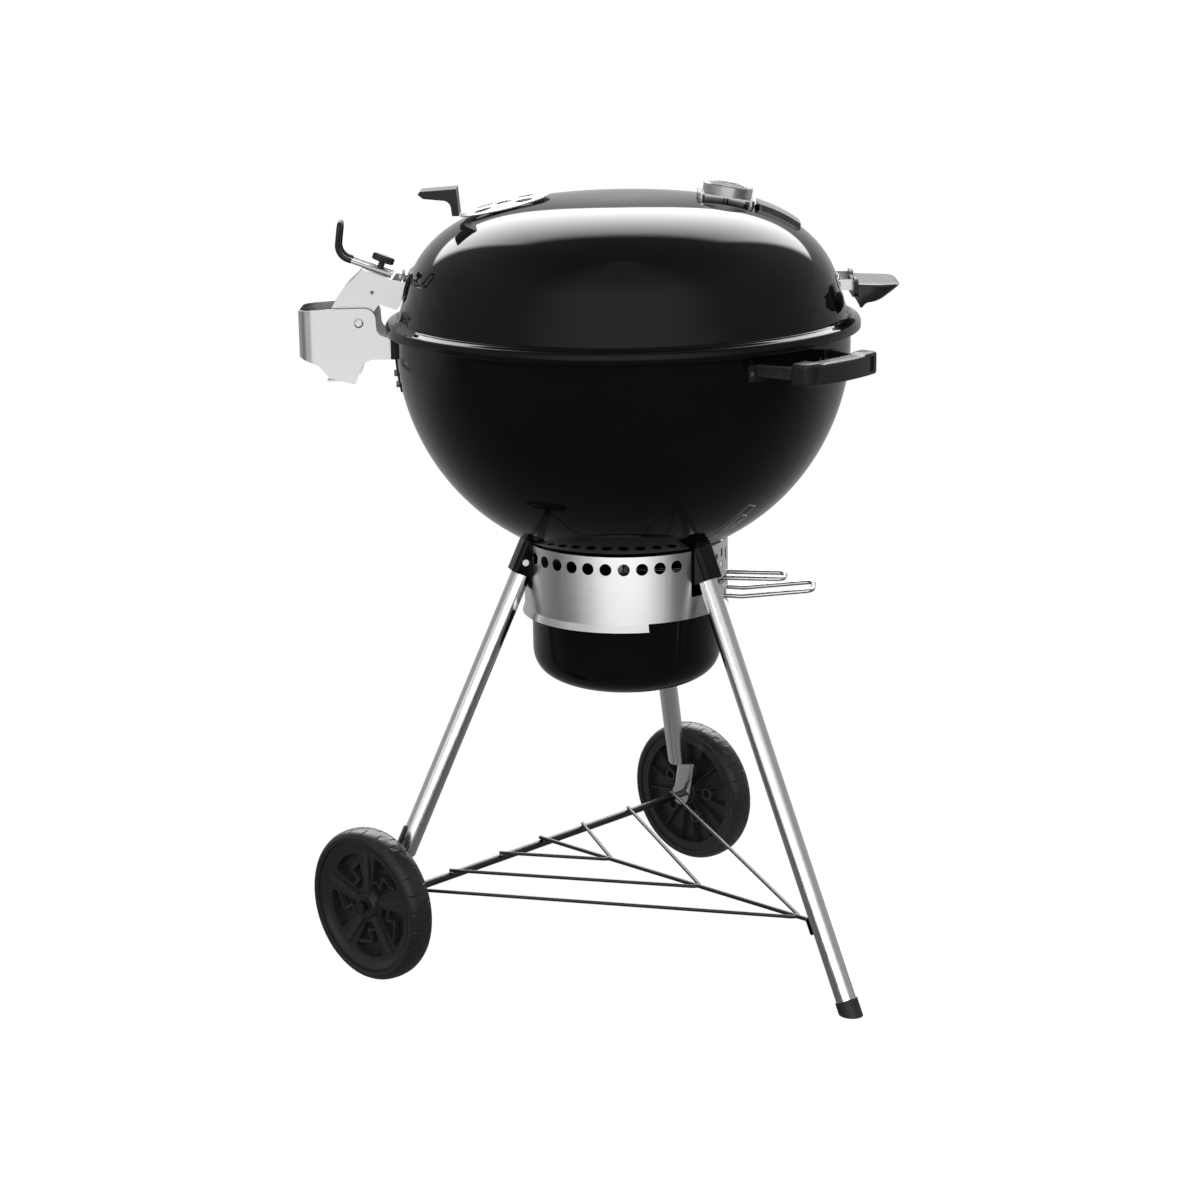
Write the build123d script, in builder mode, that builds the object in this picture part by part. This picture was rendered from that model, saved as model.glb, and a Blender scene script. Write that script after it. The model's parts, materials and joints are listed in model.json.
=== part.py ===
"""Kettle charcoal grill on three legs with two wheels.

Frame: origin on the kettle's axis at floor level, +Z up, +X towards the lid handle,
so that the lid hinge is at -X.  Millimetres throughout.
"""
from build123d import *
from math import atan2, cos, degrees, pi, radians, sin, sqrt
import os

# ---- driving dimensions -------------------------------------------------------------
BOWL_R = 285.0            # outside radius of the kettle bowl
BOWL_DEPTH = 272.0        # from the widest level down to the outside of the bottom
BOWL_WIDE, BOWL_TALL = 2.155, 1.887   # roundness of the bowl's section
BOWL_Z = 802.0            # level where the bowl is widest
RIM_Z = 834.4             # top of the bowl's rim
SHELL = 1.6               # enamelled sheet thickness

LID_R = 275.0             # outside radius of the lid's wall
LID_RISE = 161.0
LID_WIDE, LID_TALL = 2.892, 2.489
LID_Z = 826.6             # level the lid's section is measured from
LIP_R = 297.5             # lid lip, outside
LIP_Z = 823.0             # bottom edge of the lid lip

RING_R = 130.5            # ash ring, outside
RING_T = 1.2
RING_TOP, RING_BOTTOM = 555.0, 459.0
VENT_ROW_Z = 539.0

LEG_FOOT_R = 372.8        # where a leg's axis would meet the floor
LEG_SLOPE = 0.4543        # inward travel per mm of height
LEG_TUBE_R = 12.7
FRONT_LEG = -43.3         # azimuth of the footed leg, degrees
LEFT_LEG = FRONT_LEG - 120
BACK_LEG = FRONT_LEG + 120

WHEEL_R = 99.5
WHEEL_OUT = 308.2         # wheel mid-plane from the axle's middle
TYRE_W = 36.0
AXLE_R = 5.0
RUN = 0.05                # radial running clearance of every shaft in its hole

PIVOT_X, PIVOT_Z = -328.0, 837.0      # lid hinge pin
HINGE_HALF = 40.0         # half the width of the hinge housing

POT_R = 121.2
POT_TOP, POT_ROUND_Z, POT_BOTTOM = 494.0, 417.5, 360.4
POT_ROUND = 2.9

LEVER_Z = 504.0           # cleaning lever wire
LEVER_AZ = -8.0
LEVER_LOW, LEVER_HIGH = -14.0, 46.0   # lever travel, degrees
HANDLE_WIRE_R = 2.75

DAMPER_X = -145.0         # middle of the lid damper
DAMPER_R = 57.0
THERMO_X = 130.0          # middle of the lid thermometer

GRATE_Z = 797.0           # middle of the cooking grate's bars
GRATE_R = 270.0
FLAP_Y = 160.0            # hinge line of the grate's flaps
COAL_Z = 637.0            # underside of the charcoal grate
COAL_R = 212.0

os.makedirs("parts", exist_ok=True)


# ---- shared geometry ----------------------------------------------------------------
def unit(azimuth):
    """Horizontal unit vector at an azimuth in degrees."""
    return Vector(cos(radians(azimuth)), sin(radians(azimuth)), 0)


def save(builder, name):
    """Label a finished sub-part and write it."""
    builder.part.label = name
    export_step(builder.part, "parts/" + name + ".step")


def section_plane(azimuth):
    """Vertical plane through the kettle's axis: local x is the radius, local y is Z."""
    out = unit(azimuth)
    return Plane(origin=(0, 0, 0), x_dir=out, z_dir=(out.Y, -out.X, 0))


def radial_plane(azimuth, z, distance=0.0):
    """Plane facing outward: local x is tangential, local y is up."""
    out = unit(azimuth)
    return Plane(origin=out * distance + Vector(0, 0, z), x_dir=(-out.Y, out.X, 0), z_dir=out)


def bowl_curve(inset=0.0, first=0.0, last=pi / 2, count=10):
    """Points (radius, z) of the bowl's section, the given distance inside its outside."""
    points = []
    for i in range(count):
        t = first + (last - first) * i / (count - 1)
        r = (BOWL_R - inset) * max(cos(t), 0.0) ** (2 / BOWL_WIDE)
        points.append((r, BOWL_Z - (BOWL_DEPTH - inset) * sin(t) ** (2 / BOWL_TALL)))
    return points


def bowl_radius(z, inset=0.0):
    """Radius of the bowl's section at a level."""
    drop = max(BOWL_Z - z, 0.0) / (BOWL_DEPTH - inset)
    return (BOWL_R - inset) * (1 - drop ** BOWL_TALL) ** (1 / BOWL_WIDE)


def lid_height(radius, inset=0.0):
    """Level of the lid's dome at a radius."""
    share = (radius / (LID_R - inset)) ** LID_WIDE
    return LID_Z + (LID_RISE - inset) * (1 - share) ** (1 / LID_TALL)


def lid_radius(z, inset=0.0):
    """Radius of the lid's wall at a level."""
    rise = ((z - LID_Z) / (LID_RISE - inset)) ** LID_TALL
    return (LID_R - inset) * (1 - rise) ** (1 / LID_WIDE)


def leg_point(azimuth, z):
    """Point of a leg's axis at a level."""
    return unit(azimuth) * (LEG_FOOT_R - LEG_SLOPE * z) + Vector(0, 0, z)


def leg_plane(azimuth, z):
    """Plane square to a leg: local x tangential, local -y outward, local z up the leg."""
    out = unit(azimuth)
    up = (leg_point(azimuth, 1) - leg_point(azimuth, 0)).normalized()
    return Plane(origin=leg_point(azimuth, z), x_dir=(-out.Y, out.X, 0), z_dir=up)


LEG_STRETCH = sqrt(1 + LEG_SLOPE ** 2)        # length along a leg per mm of height
REAR = unit(FRONT_LEG + 180)                  # from the kettle's axis towards the axle
AXLE_DIR = unit(FRONT_LEG + 90)               # along the axle, towards the back wheel
AXLE_MID = REAR * (0.5 * (LEG_FOOT_R - LEG_SLOPE * WHEEL_R)) + Vector(0, 0, WHEEL_R)


def axle_plane(distance):
    """Plane square to the axle: local x along the rear direction, local z out along the axle."""
    return Plane(origin=AXLE_MID + AXLE_DIR * distance, x_dir=REAR, z_dir=AXLE_DIR)


# ---- bowl ---------------------------------------------------------------------------
VENT_MID, VENT_HALF = 40.0, 22.0              # bottom vents: first azimuth, half width
with BuildPart() as bowl:
    with BuildSketch(Plane.XZ):
        with BuildLine():
            Line((BOWL_R, RIM_Z), (BOWL_R, BOWL_Z))
            Spline(bowl_curve(), tangents=((0, -1), (-1, 0)))
            Line((0, BOWL_Z - BOWL_DEPTH), (0, BOWL_Z - BOWL_DEPTH + SHELL))
            Spline(bowl_curve(SHELL)[::-1], tangents=((1, 0), (0, 1)))
            Line((BOWL_R - SHELL, BOWL_Z), (BOWL_R - SHELL, RIM_Z))
            Line((BOWL_R - SHELL, RIM_Z), (BOWL_R, RIM_Z))
        make_face()
        with Locations((BOWL_R + 0.6, RIM_Z - 2.4)):
            Circle(2.4)                        # rolled rim bead
    revolve(axis=Axis.Z)
    with BuildSketch(Plane.XY.offset(500)):
        Circle(AXLE_R + RUN)                   # hole for the sweeper's shaft
        for i in range(3):
            mid = VENT_MID + 120 * i
            with BuildLine():
                a = unit(mid - VENT_HALF)
                b = unit(mid + VENT_HALF)
                m = unit(mid)
                ThreePointArc(a * 108, m * 108, b * 108)
                Line(b * 108, b * 42)
                ThreePointArc(b * 42, m * 42, a * 42)
                Line(a * 42, a * 108)
            make_face()
    extrude(amount=80, mode=Mode.SUBTRACT)
save(bowl, "bowl")

# ---- ash ring under the bowl -----------------------------------------------------------
SLOT_HALF = degrees(atan2(16.5 + HANDLE_WIRE_R, RING_R)) + 1.2
POT_HANDLE_AZ = -6.0
POT_LOOP_HALF = 23.0
NOTCH_HALF = degrees(atan2(POT_LOOP_HALF + HANDLE_WIRE_R, RING_R)) + 1.2
POT_HANDLE_Z = 482.0


def ring_window(low_az, high_az, low_z, high_z):
    """Cut a window through the ring wall between two azimuths and two levels."""
    with BuildSketch(section_plane(low_az)) as window:
        with Locations((RING_R, (low_z + high_z) / 2)):
            Rectangle(16, high_z - low_z)
    revolve(window.sketch, axis=Axis.Z, revolution_arc=high_az - low_az, mode=Mode.SUBTRACT)


with BuildPart() as ash_ring:
    with BuildSketch(Plane.XZ):
        with BuildLine():
            Polyline((RING_R - RING_T, RING_TOP), (RING_R, RING_TOP), (RING_R, RING_BOTTOM + 9),
                     (RING_R + 3, RING_BOTTOM), (RING_R + 3 - RING_T, RING_BOTTOM),
                     (RING_R - RING_T, RING_BOTTOM + 9), (RING_R - RING_T, RING_TOP))
        make_face()
    revolve(axis=Axis.Z)
    for first, count in ((-151.4, 10), (6.0, 6), (94.0, 9)):
        for i in range(count):
            with BuildSketch(radial_plane(first + 10.02 * i, VENT_ROW_Z, RING_R - 10)):
                Circle(7.6)
            extrude(amount=20, mode=Mode.SUBTRACT)
    for azimuth, z, tall, lean in ((-30, 534, 18, -25), (-22, 541, 12, 0), (-22, 526, 9, 0),
                                   (-14, 536, 17, 10), (-5, 536, 17, 0), (-26, 517, 7, 0)):
        with BuildSketch(radial_plane(azimuth, z, RING_R - 10)):
            SlotOverall(tall, 6.0, rotation=90 + lean)
        extrude(amount=20, mode=Mode.SUBTRACT)
    ring_window(LEVER_AZ + LEVER_LOW - SLOT_HALF, LEVER_AZ + LEVER_HIGH + SLOT_HALF,
                LEVER_Z - 4.2, LEVER_Z + 4.2)
    ring_window(POT_HANDLE_AZ - NOTCH_HALF, POT_HANDLE_AZ + NOTCH_HALF,
                RING_BOTTOM - 5, POT_HANDLE_Z + 8)
    ring_window(-78, -37, RING_BOTTOM - 5, RING_BOTTOM + 10)
    for azimuth in (FRONT_LEG, LEFT_LEG, BACK_LEG):
        ring_window(azimuth - 8.2, azimuth + 8.2, 496, RING_TOP + 5)
save(ash_ring, "ash_ring")

# ---- legs, their sockets and the foot ------------------------------------------------------
SOCKET_LOW, SOCKET_HIGH = 515.0, 556.0
TUBE_TOP = 540.0
CRIMP_Z = 160.0           # where a wheel leg starts to flatten
for name, azimuth in (("front", FRONT_LEG), ("left", LEFT_LEG), ("back", BACK_LEG)):
    side = -1 if name == "left" else 1        # which end of the axle the leg stands on
    with BuildPart() as leg:
        low = 8.0 if name == "front" else CRIMP_Z
        with BuildSketch(leg_plane(azimuth, low)):
            Circle(LEG_TUBE_R)
        extrude(amount=(TUBE_TOP - low) * LEG_STRETCH)
        if name != "front":
            flat = axle_plane(side * 284.0)
            above = AXLE_MID + REAR * -(LEG_SLOPE * 25) + Vector(0, 0, 50) + AXLE_DIR * (side * 281.5)
            with BuildSketch(leg_plane(azimuth, low)):
                Circle(LEG_TUBE_R)
            with BuildSketch(Plane(origin=above, x_dir=AXLE_DIR, z_dir=(0, 0, 1))):
                Ellipse(3.2, 15)
            loft()
            with BuildSketch(Plane(origin=above, x_dir=AXLE_DIR, z_dir=(0, 0, 1))):
                Ellipse(3.2, 15)
            with BuildSketch(Plane(origin=flat.origin, x_dir=AXLE_DIR, z_dir=(0, 0, 1))):
                Ellipse(3.2, 15)
            loft()
            with BuildSketch(Plane(origin=flat.origin - AXLE_DIR * 3.0, x_dir=REAR,
                                   z_dir=AXLE_DIR)):
                Circle(15)
            extrude(amount=6.0)
            with BuildSketch(axle_plane(side * 284.0 - 20)):
                Circle(AXLE_R + 0.02)
            extrude(amount=40, mode=Mode.SUBTRACT)
        with BuildSketch(leg_plane(azimuth, 14.0 if name == "front" else CRIMP_Z + 6)):
            Circle(LEG_TUBE_R - 1.5)
        extrude(amount=600, mode=Mode.SUBTRACT)
    if name == "front":
        front_leg = leg.part
    if name == "left":
        left_leg = leg.part
    if name == "back":                         # the other wheel leg is its mirror image
        with BuildPart() as leg:
            mirror(left_leg, about=Plane(origin=(0, 0, 0), z_dir=AXLE_DIR))
    save(leg, "leg_" + name)

    with BuildPart() as socket:
        with BuildSketch(leg_plane(azimuth, SOCKET_LOW)):
            RectangleRounded(31, 33, 7)
            Circle(LEG_TUBE_R + 0.02, mode=Mode.SUBTRACT)
        extrude(amount=(TUBE_TOP - SOCKET_LOW) * LEG_STRETCH)
        with BuildSketch(leg_plane(azimuth, TUBE_TOP)):
            RectangleRounded(31, 33, 7)
        extrude(amount=(SOCKET_HIGH + 12 - TUBE_TOP) * LEG_STRETCH)
        with BuildSketch(Plane.XZ):            # trimmed to the bowl's underside
            with BuildLine():
                Spline(bowl_curve(-0.4), tangents=((0, -1), (-1, 0)))
                Polyline((0, BOWL_Z - BOWL_DEPTH - 0.4), (0, BOWL_Z), (BOWL_R + 0.4, BOWL_Z))
            make_face()
        revolve(axis=Axis.Z, mode=Mode.SUBTRACT)
        with BuildSketch(Plane.XY.offset(480)):
            Circle(RING_R - 24)                # clear of the sweeper inside the ring
        extrude(amount=100, mode=Mode.SUBTRACT)
    save(socket, "leg_socket_" + name)

with BuildPart() as socket_bolts:
    for azimuth in (FRONT_LEG, LEFT_LEG, BACK_LEG):
        along = unit(azimuth + 90)
        for z, shift, reach in ((530, -6, 1), (546, 9, 1), (546, 9, -1)):
            spot = leg_plane(azimuth, z)
            at = spot.origin + spot.y_dir * shift + along * (15.5 * reach)
            with BuildSketch(Plane(origin=at, x_dir=spot.z_dir, z_dir=along * reach)):
                if shift > 0:
                    RegularPolygon(5.5, 6)
                else:
                    Circle(4.2)
            extrude(amount=3.2)
save(socket_bolts, "socket_bolts")

with BuildPart() as foot_cap:
    with BuildSketch(leg_plane(FRONT_LEG, -12)):
        Circle(LEG_TUBE_R + 1.6)
    extrude(amount=(12 + 17) * LEG_STRETCH)
    fillet(foot_cap.edges().sort_by(Axis.Z)[-1], radius=1.0)
    with BuildSketch(leg_plane(FRONT_LEG, 8)):
        Circle(LEG_TUBE_R + 0.02)
    extrude(amount=40, mode=Mode.SUBTRACT)
    split(bisect_by=Plane.XY, keep=Keep.TOP)
save(foot_cap, "foot_cap")

for name, azimuth in (("left", LEFT_LEG), ("back", BACK_LEG)):
    with BuildPart() as plug:
        spot = leg_plane(azimuth, CRIMP_Z + 18)
        with BuildSketch(Plane(origin=spot.origin - spot.y_dir * (LEG_TUBE_R - 0.6),
                               x_dir=spot.x_dir, z_dir=spot.y_dir * -1)):
            SlotOverall(26, 10, rotation=90)
        extrude(amount=2.6)
        fillet(plug.faces().sort_by(Axis(plug.part.center(), spot.y_dir * -1))[-1].edges(),
               radius=1.0)
        with BuildSketch(leg_plane(azimuth, CRIMP_Z - 20)):
            Circle(LEG_TUBE_R + 0.02)
        extrude(amount=80, mode=Mode.SUBTRACT)
    save(plug, "leg_plug_" + name)

# ---- axle and wheels ----------------------------------------------------------------------
AXLE_END = WHEEL_OUT + 19.0
with BuildPart() as axle:
    with BuildSketch(axle_plane(-AXLE_END)):
        Circle(AXLE_R)
    extrude(amount=2 * AXLE_END)
    for side in (-1, 1):
        with BuildSketch(axle_plane(side * AXLE_END)):
            Circle(8.5)                        # pressed end cap
        extrude(amount=3.0 * side)
save(axle, "axle")

RIM_OUT, RIM_IN = 87.0, 74.0
for name, side in (("left", -1), ("back", 1)):
    middle = AXLE_MID + AXLE_DIR * (side * WHEEL_OUT)
    face = Plane(origin=middle, x_dir=REAR, z_dir=AXLE_DIR * side)     # local z points outward
    across = Plane(origin=middle, x_dir=REAR, z_dir=face.y_dir * -1)   # holds the axle as local y

    def turned(points, mode=Mode.ADD):
        """Revolve a closed outline of (radius, outward) points round the axle."""
        with BuildSketch(across) as outline:
            with BuildLine():
                Polyline(*points, close=True)
            make_face()
        revolve(outline.sketch, axis=Axis(middle, face.z_dir), mode=mode)

    with BuildPart() as tyre:
        with BuildSketch(across):
            with BuildLine():
                half = TYRE_W / 2
                Line((RIM_OUT, -half + 1), (RIM_OUT, half - 1))
                Line((RIM_OUT, half - 1), (RIM_OUT + 4, half))
                ThreePointArc((RIM_OUT + 4, half), (96.5, half - 4.5), (98.6, half - 11))
                ThreePointArc((98.6, half - 11), (WHEEL_R, 0), (98.6, 11 - half))
                ThreePointArc((98.6, 11 - half), (96.5, 4.5 - half), (RIM_OUT + 4, -half))
                Line((RIM_OUT + 4, -half), (RIM_OUT, -half + 1))
            make_face()
        revolve(axis=Axis(middle, face.z_dir))
    save(tyre, "tyre_" + name)

    with BuildPart() as wheel:
        turned(((RIM_IN, -15), (RIM_IN, 9), (RIM_OUT - 4, 14.5), (RIM_OUT, 14.5), (RIM_OUT, -15)))
        turned(((14, 1), (RIM_IN + 2, 5), (RIM_IN + 2, 8), (14, 5)))           # dished web
        turned(((14, -4), (RIM_IN + 2, -4), (RIM_IN + 2, -1.5), (14, -1.5)))   # closed inner disc
        with BuildSketch(face.offset(-1)):      # five pairs of windows through the web
            for i in range(5):
                for lean, near, far in ((13, 30, 68), (-17, 34, 66)):
                    turn = 72 * i + lean
                    with BuildLine():
                        Polyline(*[(r * cos(radians(turn + w)), r * sin(radians(turn + w)))
                                   for r, w in ((near, -7), (far, -9), (far, 9), (far * 0.62, 5),
                                                (near, 8))], close=True)
                    make_face()
        extrude(amount=12, mode=Mode.SUBTRACT)
        for i in range(5):                      # raised ribs of the five spokes
            for lean, wide in ((0, 13), (-35, 8)):
                turn = radians(72 * i + lean)
                long_r = RIM_IN + 1 if lean == 0 else 60
                plane = Plane(origin=middle, x_dir=face.x_dir * cos(turn) + face.y_dir * sin(turn),
                              z_dir=face.z_dir)
                with BuildSketch(plane.offset(3)):
                    with Locations(((long_r + 10) / 2, 0)):
                        Rectangle(long_r - 10, wide)
                extrude(amount=7.5 if lean == 0 else 5)
        for i in range(15):                     # radial ribs on the inner side
            turn = radians(24 * i)
            plane = Plane(origin=middle, x_dir=face.x_dir * cos(turn) + face.y_dir * sin(turn),
                          z_dir=face.z_dir)
            with BuildSketch(plane.offset(-9)):
                with Locations((45, 0)):
                    Rectangle(60, 1.8)
            extrude(amount=12)
        with BuildSketch(face.offset(-13)):
            with PolarLocations(37, 5, start_angle=12):
                Circle(9.5)
        extrude(amount=16)
        turned(((0, -16.5), (17, -16.5), (17, 4), (15, 13.5), (0, 13.5)))      # hub
        with BuildSketch(face.offset(-30)):
            Circle(AXLE_R + RUN)
        extrude(amount=60, mode=Mode.SUBTRACT)
    save(wheel, "wheel_" + name)

# ---- wire rack between the legs -----------------------------------------------------------
WIRE_R = 2.3
RACK_Z = WHEEL_R + AXLE_R + WIRE_R + 0.4
AXLE_FOOT = Vector(AXLE_MID.X, AXLE_MID.Y, RACK_Z)
with BuildPart() as wire_rack:
    for reach, half in ((132.3, 80.0), (290.3, 171.8), (456.1, 262.5)):
        with BuildLine() as vee:
            FilletPolyline(AXLE_FOOT - AXLE_DIR * half, AXLE_FOOT - REAR * reach,
                           AXLE_FOOT + AXLE_DIR * half, radius=7)
        with BuildSketch(Plane(origin=vee.line @ 0, z_dir=vee.line % 0)):
            Circle(WIRE_R)
        sweep(path=vee.line)
    spot = leg_plane(FRONT_LEG, RACK_Z)
    end = spot.origin + spot.y_dir * (LEG_TUBE_R + 1.3)
    with BuildSketch(Plane(origin=AXLE_FOOT + REAR * 3, z_dir=REAR * -1)):
        Circle(WIRE_R + 0.4)
    extrude(amount=(AXLE_FOOT - end).dot(REAR) + 2.0)
    with BuildSketch(Plane(origin=end, x_dir=spot.x_dir, z_dir=spot.y_dir)):
        RectangleRounded(16, 22, 3)            # tab screwed to the front leg
    extrude(amount=1.4)
    add(front_leg, mode=Mode.SUBTRACT)
save(wire_rack, "wire_rack")

# ---- ash pot ---------------------------------------------------------------------------------
POT_T = 1.4


def pot_curve(inset=0.0, count=9):
    """Points (radius, z) of the pot's rounded bottom, the given distance inside its outside."""
    depth = POT_ROUND_Z - POT_BOTTOM - inset
    angles = [pi / 2 * i / (count - 1) for i in range(count)]
    return [((POT_R - inset) * max(cos(t), 0.0) ** (2 / POT_ROUND),
             POT_ROUND_Z - depth * sin(t) ** (2 / POT_ROUND)) for t in angles]


with BuildPart() as ash_pot:
    with BuildSketch(Plane.XZ):
        with BuildLine():
            Polyline((POT_R, POT_ROUND_Z), (POT_R, POT_TOP - 5), (POT_R + 5.5, POT_TOP - 1.5),
                     (POT_R + 5.5, POT_TOP), (POT_R - POT_T, POT_TOP - 3),
                     (POT_R - POT_T, POT_ROUND_Z))
            Spline(pot_curve(POT_T), tangents=((0, -1), (-1, 0)))
            Line((0, POT_BOTTOM + POT_T), (0, POT_BOTTOM))
            Spline(pot_curve()[::-1], tangents=((1, 0), (0, 1)))
        make_face()
    revolve(axis=Axis.Z)
save(ash_pot, "ash_pot")


def wire_loop(azimuth, half, stations, radius):
    """Loop of wire reaching outward: stations are (radius, z) pairs from its root to its tip."""
    out = unit(azimuth)
    side = unit(azimuth + 90)
    near = [out * r - side * half + Vector(0, 0, z) for r, z in stations]
    far = [out * r + side * half + Vector(0, 0, z) for r, z in stations[::-1]]
    with BuildLine() as loop:
        FilletPolyline(*near, *far, radius=[radius if i in (len(near) - 2, len(near) - 1) else 12
                                            for i in range(2 * len(near) - 2)])
    with BuildSketch(Plane(origin=loop.line @ 0, z_dir=loop.line % 0)) as wire:
        Circle(HANDLE_WIRE_R)
    sweep(wire.sketch, path=loop.line)


with BuildPart() as ash_pot_handle:
    wire_loop(POT_HANDLE_AZ, POT_LOOP_HALF, ((119.2, 482), (150, 480.5), (240, 489.5)), 9)
    for reach in (-1, 1):
        with BuildSketch(radial_plane(POT_HANDLE_AZ, POT_HANDLE_Z, 110)) as pad:
            with Locations((reach * POT_LOOP_HALF, 0)):
                RectangleRounded(13, 11, 3)
        extrude(pad.sketch, amount=13)
    with BuildSketch(Plane.XY.offset(450)) as inside:
        Circle(POT_R + 0.05)
    extrude(inside.sketch, amount=80, mode=Mode.SUBTRACT)
save(ash_pot_handle, "ash_pot_handle")

# ---- sweeper that clears the bottom vents -------------------------------------------------------
BOSS_X, BOSS_Y = 24.0, 44.0
with BuildPart() as sweeper:
    with BuildSketch(Plane.XY.offset(LEVER_Z - 5)):
        with Locations(Location((0, 0, 0), (0, 0, LEVER_AZ))):
            Rectangle(BOSS_X, BOSS_Y)
    extrude(amount=10)
    with BuildSketch(Plane.XY.offset(LEVER_Z)):
        Circle(AXLE_R)
    extrude(amount=36)
    with BuildSketch(Plane.XY.offset(BOWL_Z - BOWL_DEPTH + SHELL + 2.4)):
        Circle(30)
    extrude(amount=5)
    for i in range(3):
        start = VENT_MID - LEVER_LOW + 120 * i - 24
        with BuildSketch(section_plane(start)):
            with BuildLine():
                low = bowl_curve(SHELL + 1.4, first=1.0, count=12)
                high = bowl_curve(SHELL + 3.0, first=1.0, count=12)
                Spline(low)
                Line(low[-1], high[-1])
                Spline(high[::-1])
                Line(high[0], low[0])
            make_face()
        revolve(axis=Axis.Z, revolution_arc=48)
save(sweeper, "sweeper")

with BuildPart() as sweeper_lever:
    wire_loop(LEVER_AZ, 16.5, ((BOSS_X / 2, LEVER_Z), (204, LEVER_Z)), 8)
save(sweeper_lever, "sweeper_lever")

# ---- grates, their rests and the charcoal baskets --------------------------------------------------
def chord(radius, offset):
    """Half length of a circle's chord at an offset from its middle."""
    return sqrt(max(radius ** 2 - offset ** 2, 0.0))


def ring_sketch(radius, wide):
    """Flat hoop, the given width, about the kettle's axis."""
    Circle(radius + wide / 2)
    Circle(radius - wide / 2, mode=Mode.SUBTRACT)


def bar_sketch(y, first, last, wide=5.0):
    """Flat bar along X between two ends."""
    with Locations(((first + last) / 2, y)):
        Rectangle(last - first, wide)


INSERT_R = 150.0
BAR = 5.0                 # bar thickness
BAR_PITCH = 16.0
HINGE_ROD = 2.5
FLAP_R = GRATE_R - 8
EYE_X = 120.0
with BuildPart() as cooking_grate:
    with BuildSketch(Plane.XY.offset(GRATE_Z - BAR / 2)):
        ring_sketch(GRATE_R, 7)
        ring_sketch(INSERT_R, 6)
        for i in range(-9, 10):
            y = i * BAR_PITCH
            far = chord(GRATE_R, y)
            near = chord(INSERT_R, y)
            if near > 0:
                bar_sketch(y, near, far)
                bar_sketch(y, -far, -near)
        for reach in (-1, 1):
            for x in (-EYE_X - 9, -EYE_X + 9, EYE_X - 9, EYE_X + 9):
                with Locations((x, reach * (FLAP_Y - 8))):
                    Rectangle(5, 16)           # arms that carry the flap's hinge rod
    extrude(amount=BAR)
    for reach in (-1, 1):
        for x in (-EYE_X, EYE_X):
            with BuildSketch(Plane(origin=(x - 11, reach * FLAP_Y, GRATE_Z), z_dir=(1, 0, 0))):
                Circle(HINGE_ROD)
            extrude(amount=22)
save(cooking_grate, "cooking_grate")

with BuildPart() as grate_centre:
    with BuildSketch(Plane.XY.offset(GRATE_Z - BAR / 2)):
        ring_sketch(INSERT_R - 8, 6)
        for i in range(-8, 9):
            half = chord(INSERT_R - 8, i * BAR_PITCH)
            bar_sketch(i * BAR_PITCH, -half, half)
        for azimuth in (45, 135, 225, 315):
            with Locations(unit(azimuth) * (INSERT_R - 14)):
                Circle(9)                      # pads for the lifting ears
    extrude(amount=BAR)
    with BuildSketch(Plane.XY.offset(GRATE_Z + BAR / 2)):
        for azimuth in (45, 135, 225, 315):
            with Locations(Location(unit(azimuth) * (INSERT_R - 8), (0, 0, azimuth))):
                SlotOverall(22, 7)
    extrude(amount=2)
save(grate_centre, "grate_centre")

for name, reach in (("near", -1), ("far", 1)):
    with BuildPart() as flap:
        edge = reach * (FLAP_Y + 6)
        with BuildSketch(Plane.XY.offset(GRATE_Z - BAR / 2)):
            ring_sketch(FLAP_R, BAR)
            with Locations((0, edge - reach * 2.5)):
                Rectangle(3 * GRATE_R, 2 * GRATE_R, align=(Align.CENTER, Align.MAX if reach > 0
                          else Align.MIN), mode=Mode.SUBTRACT)
            for i in range(6):
                y = edge + reach * BAR_PITCH * i
                bar_sketch(y, -chord(FLAP_R, y), chord(FLAP_R, y))
            for x in (-EYE_X / 2, EYE_X / 2):
                with Locations((x, reach * (FLAP_Y + 52))):
                    Rectangle(BAR, 92)
            for x in (-EYE_X, EYE_X):
                with Locations((x, reach * (FLAP_Y + 5))):
                    Rectangle(10, 5)
        extrude(amount=BAR)
        for x in (-EYE_X, EYE_X):              # eyes round the grate's hinge rods
            with BuildSketch(Plane(origin=(x - 5, reach * FLAP_Y, GRATE_Z), z_dir=(1, 0, 0))):
                Circle(4.6)
            extrude(amount=10)
            with BuildSketch(Plane(origin=(x - 15, reach * FLAP_Y, GRATE_Z), z_dir=(1, 0, 0))):
                Circle(HINGE_ROD + RUN)
            extrude(amount=30, mode=Mode.SUBTRACT)
    save(flap, "grate_flap_" + name)

with BuildPart() as charcoal_grate:
    with BuildSketch(Plane.XY.offset(COAL_Z)):
        ring_sketch(COAL_R, 8)
        for i in range(-13, 14):
            y = i * 15.5
            bar_sketch(y, -chord(COAL_R, y), chord(COAL_R, y), 6.0)
        for x in (-90, 90):
            with Locations((x, 0)):
                Rectangle(6, 2 * chord(COAL_R, x))
    extrude(amount=6)
save(charcoal_grate, "charcoal_grate")

with BuildPart() as grate_rests:
    for z, near, azimuths in ((GRATE_Z - BAR / 2 - 1.1, 258, (30, 150, 210, 330)),
                              (COAL_Z - 1.1, 202, (90, 210, 330))):
        for azimuth in azimuths:
            with BuildSketch(section_plane(azimuth - 3)) as shelf:
                with Locations((near, z)):
                    Rectangle(bowl_radius(z, SHELL) - near - 1.2, 2, align=(Align.MIN, Align.CENTER))
            revolve(shelf.sketch, axis=Axis.Z, revolution_arc=6)
save(grate_rests, "grate_rests")

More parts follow.
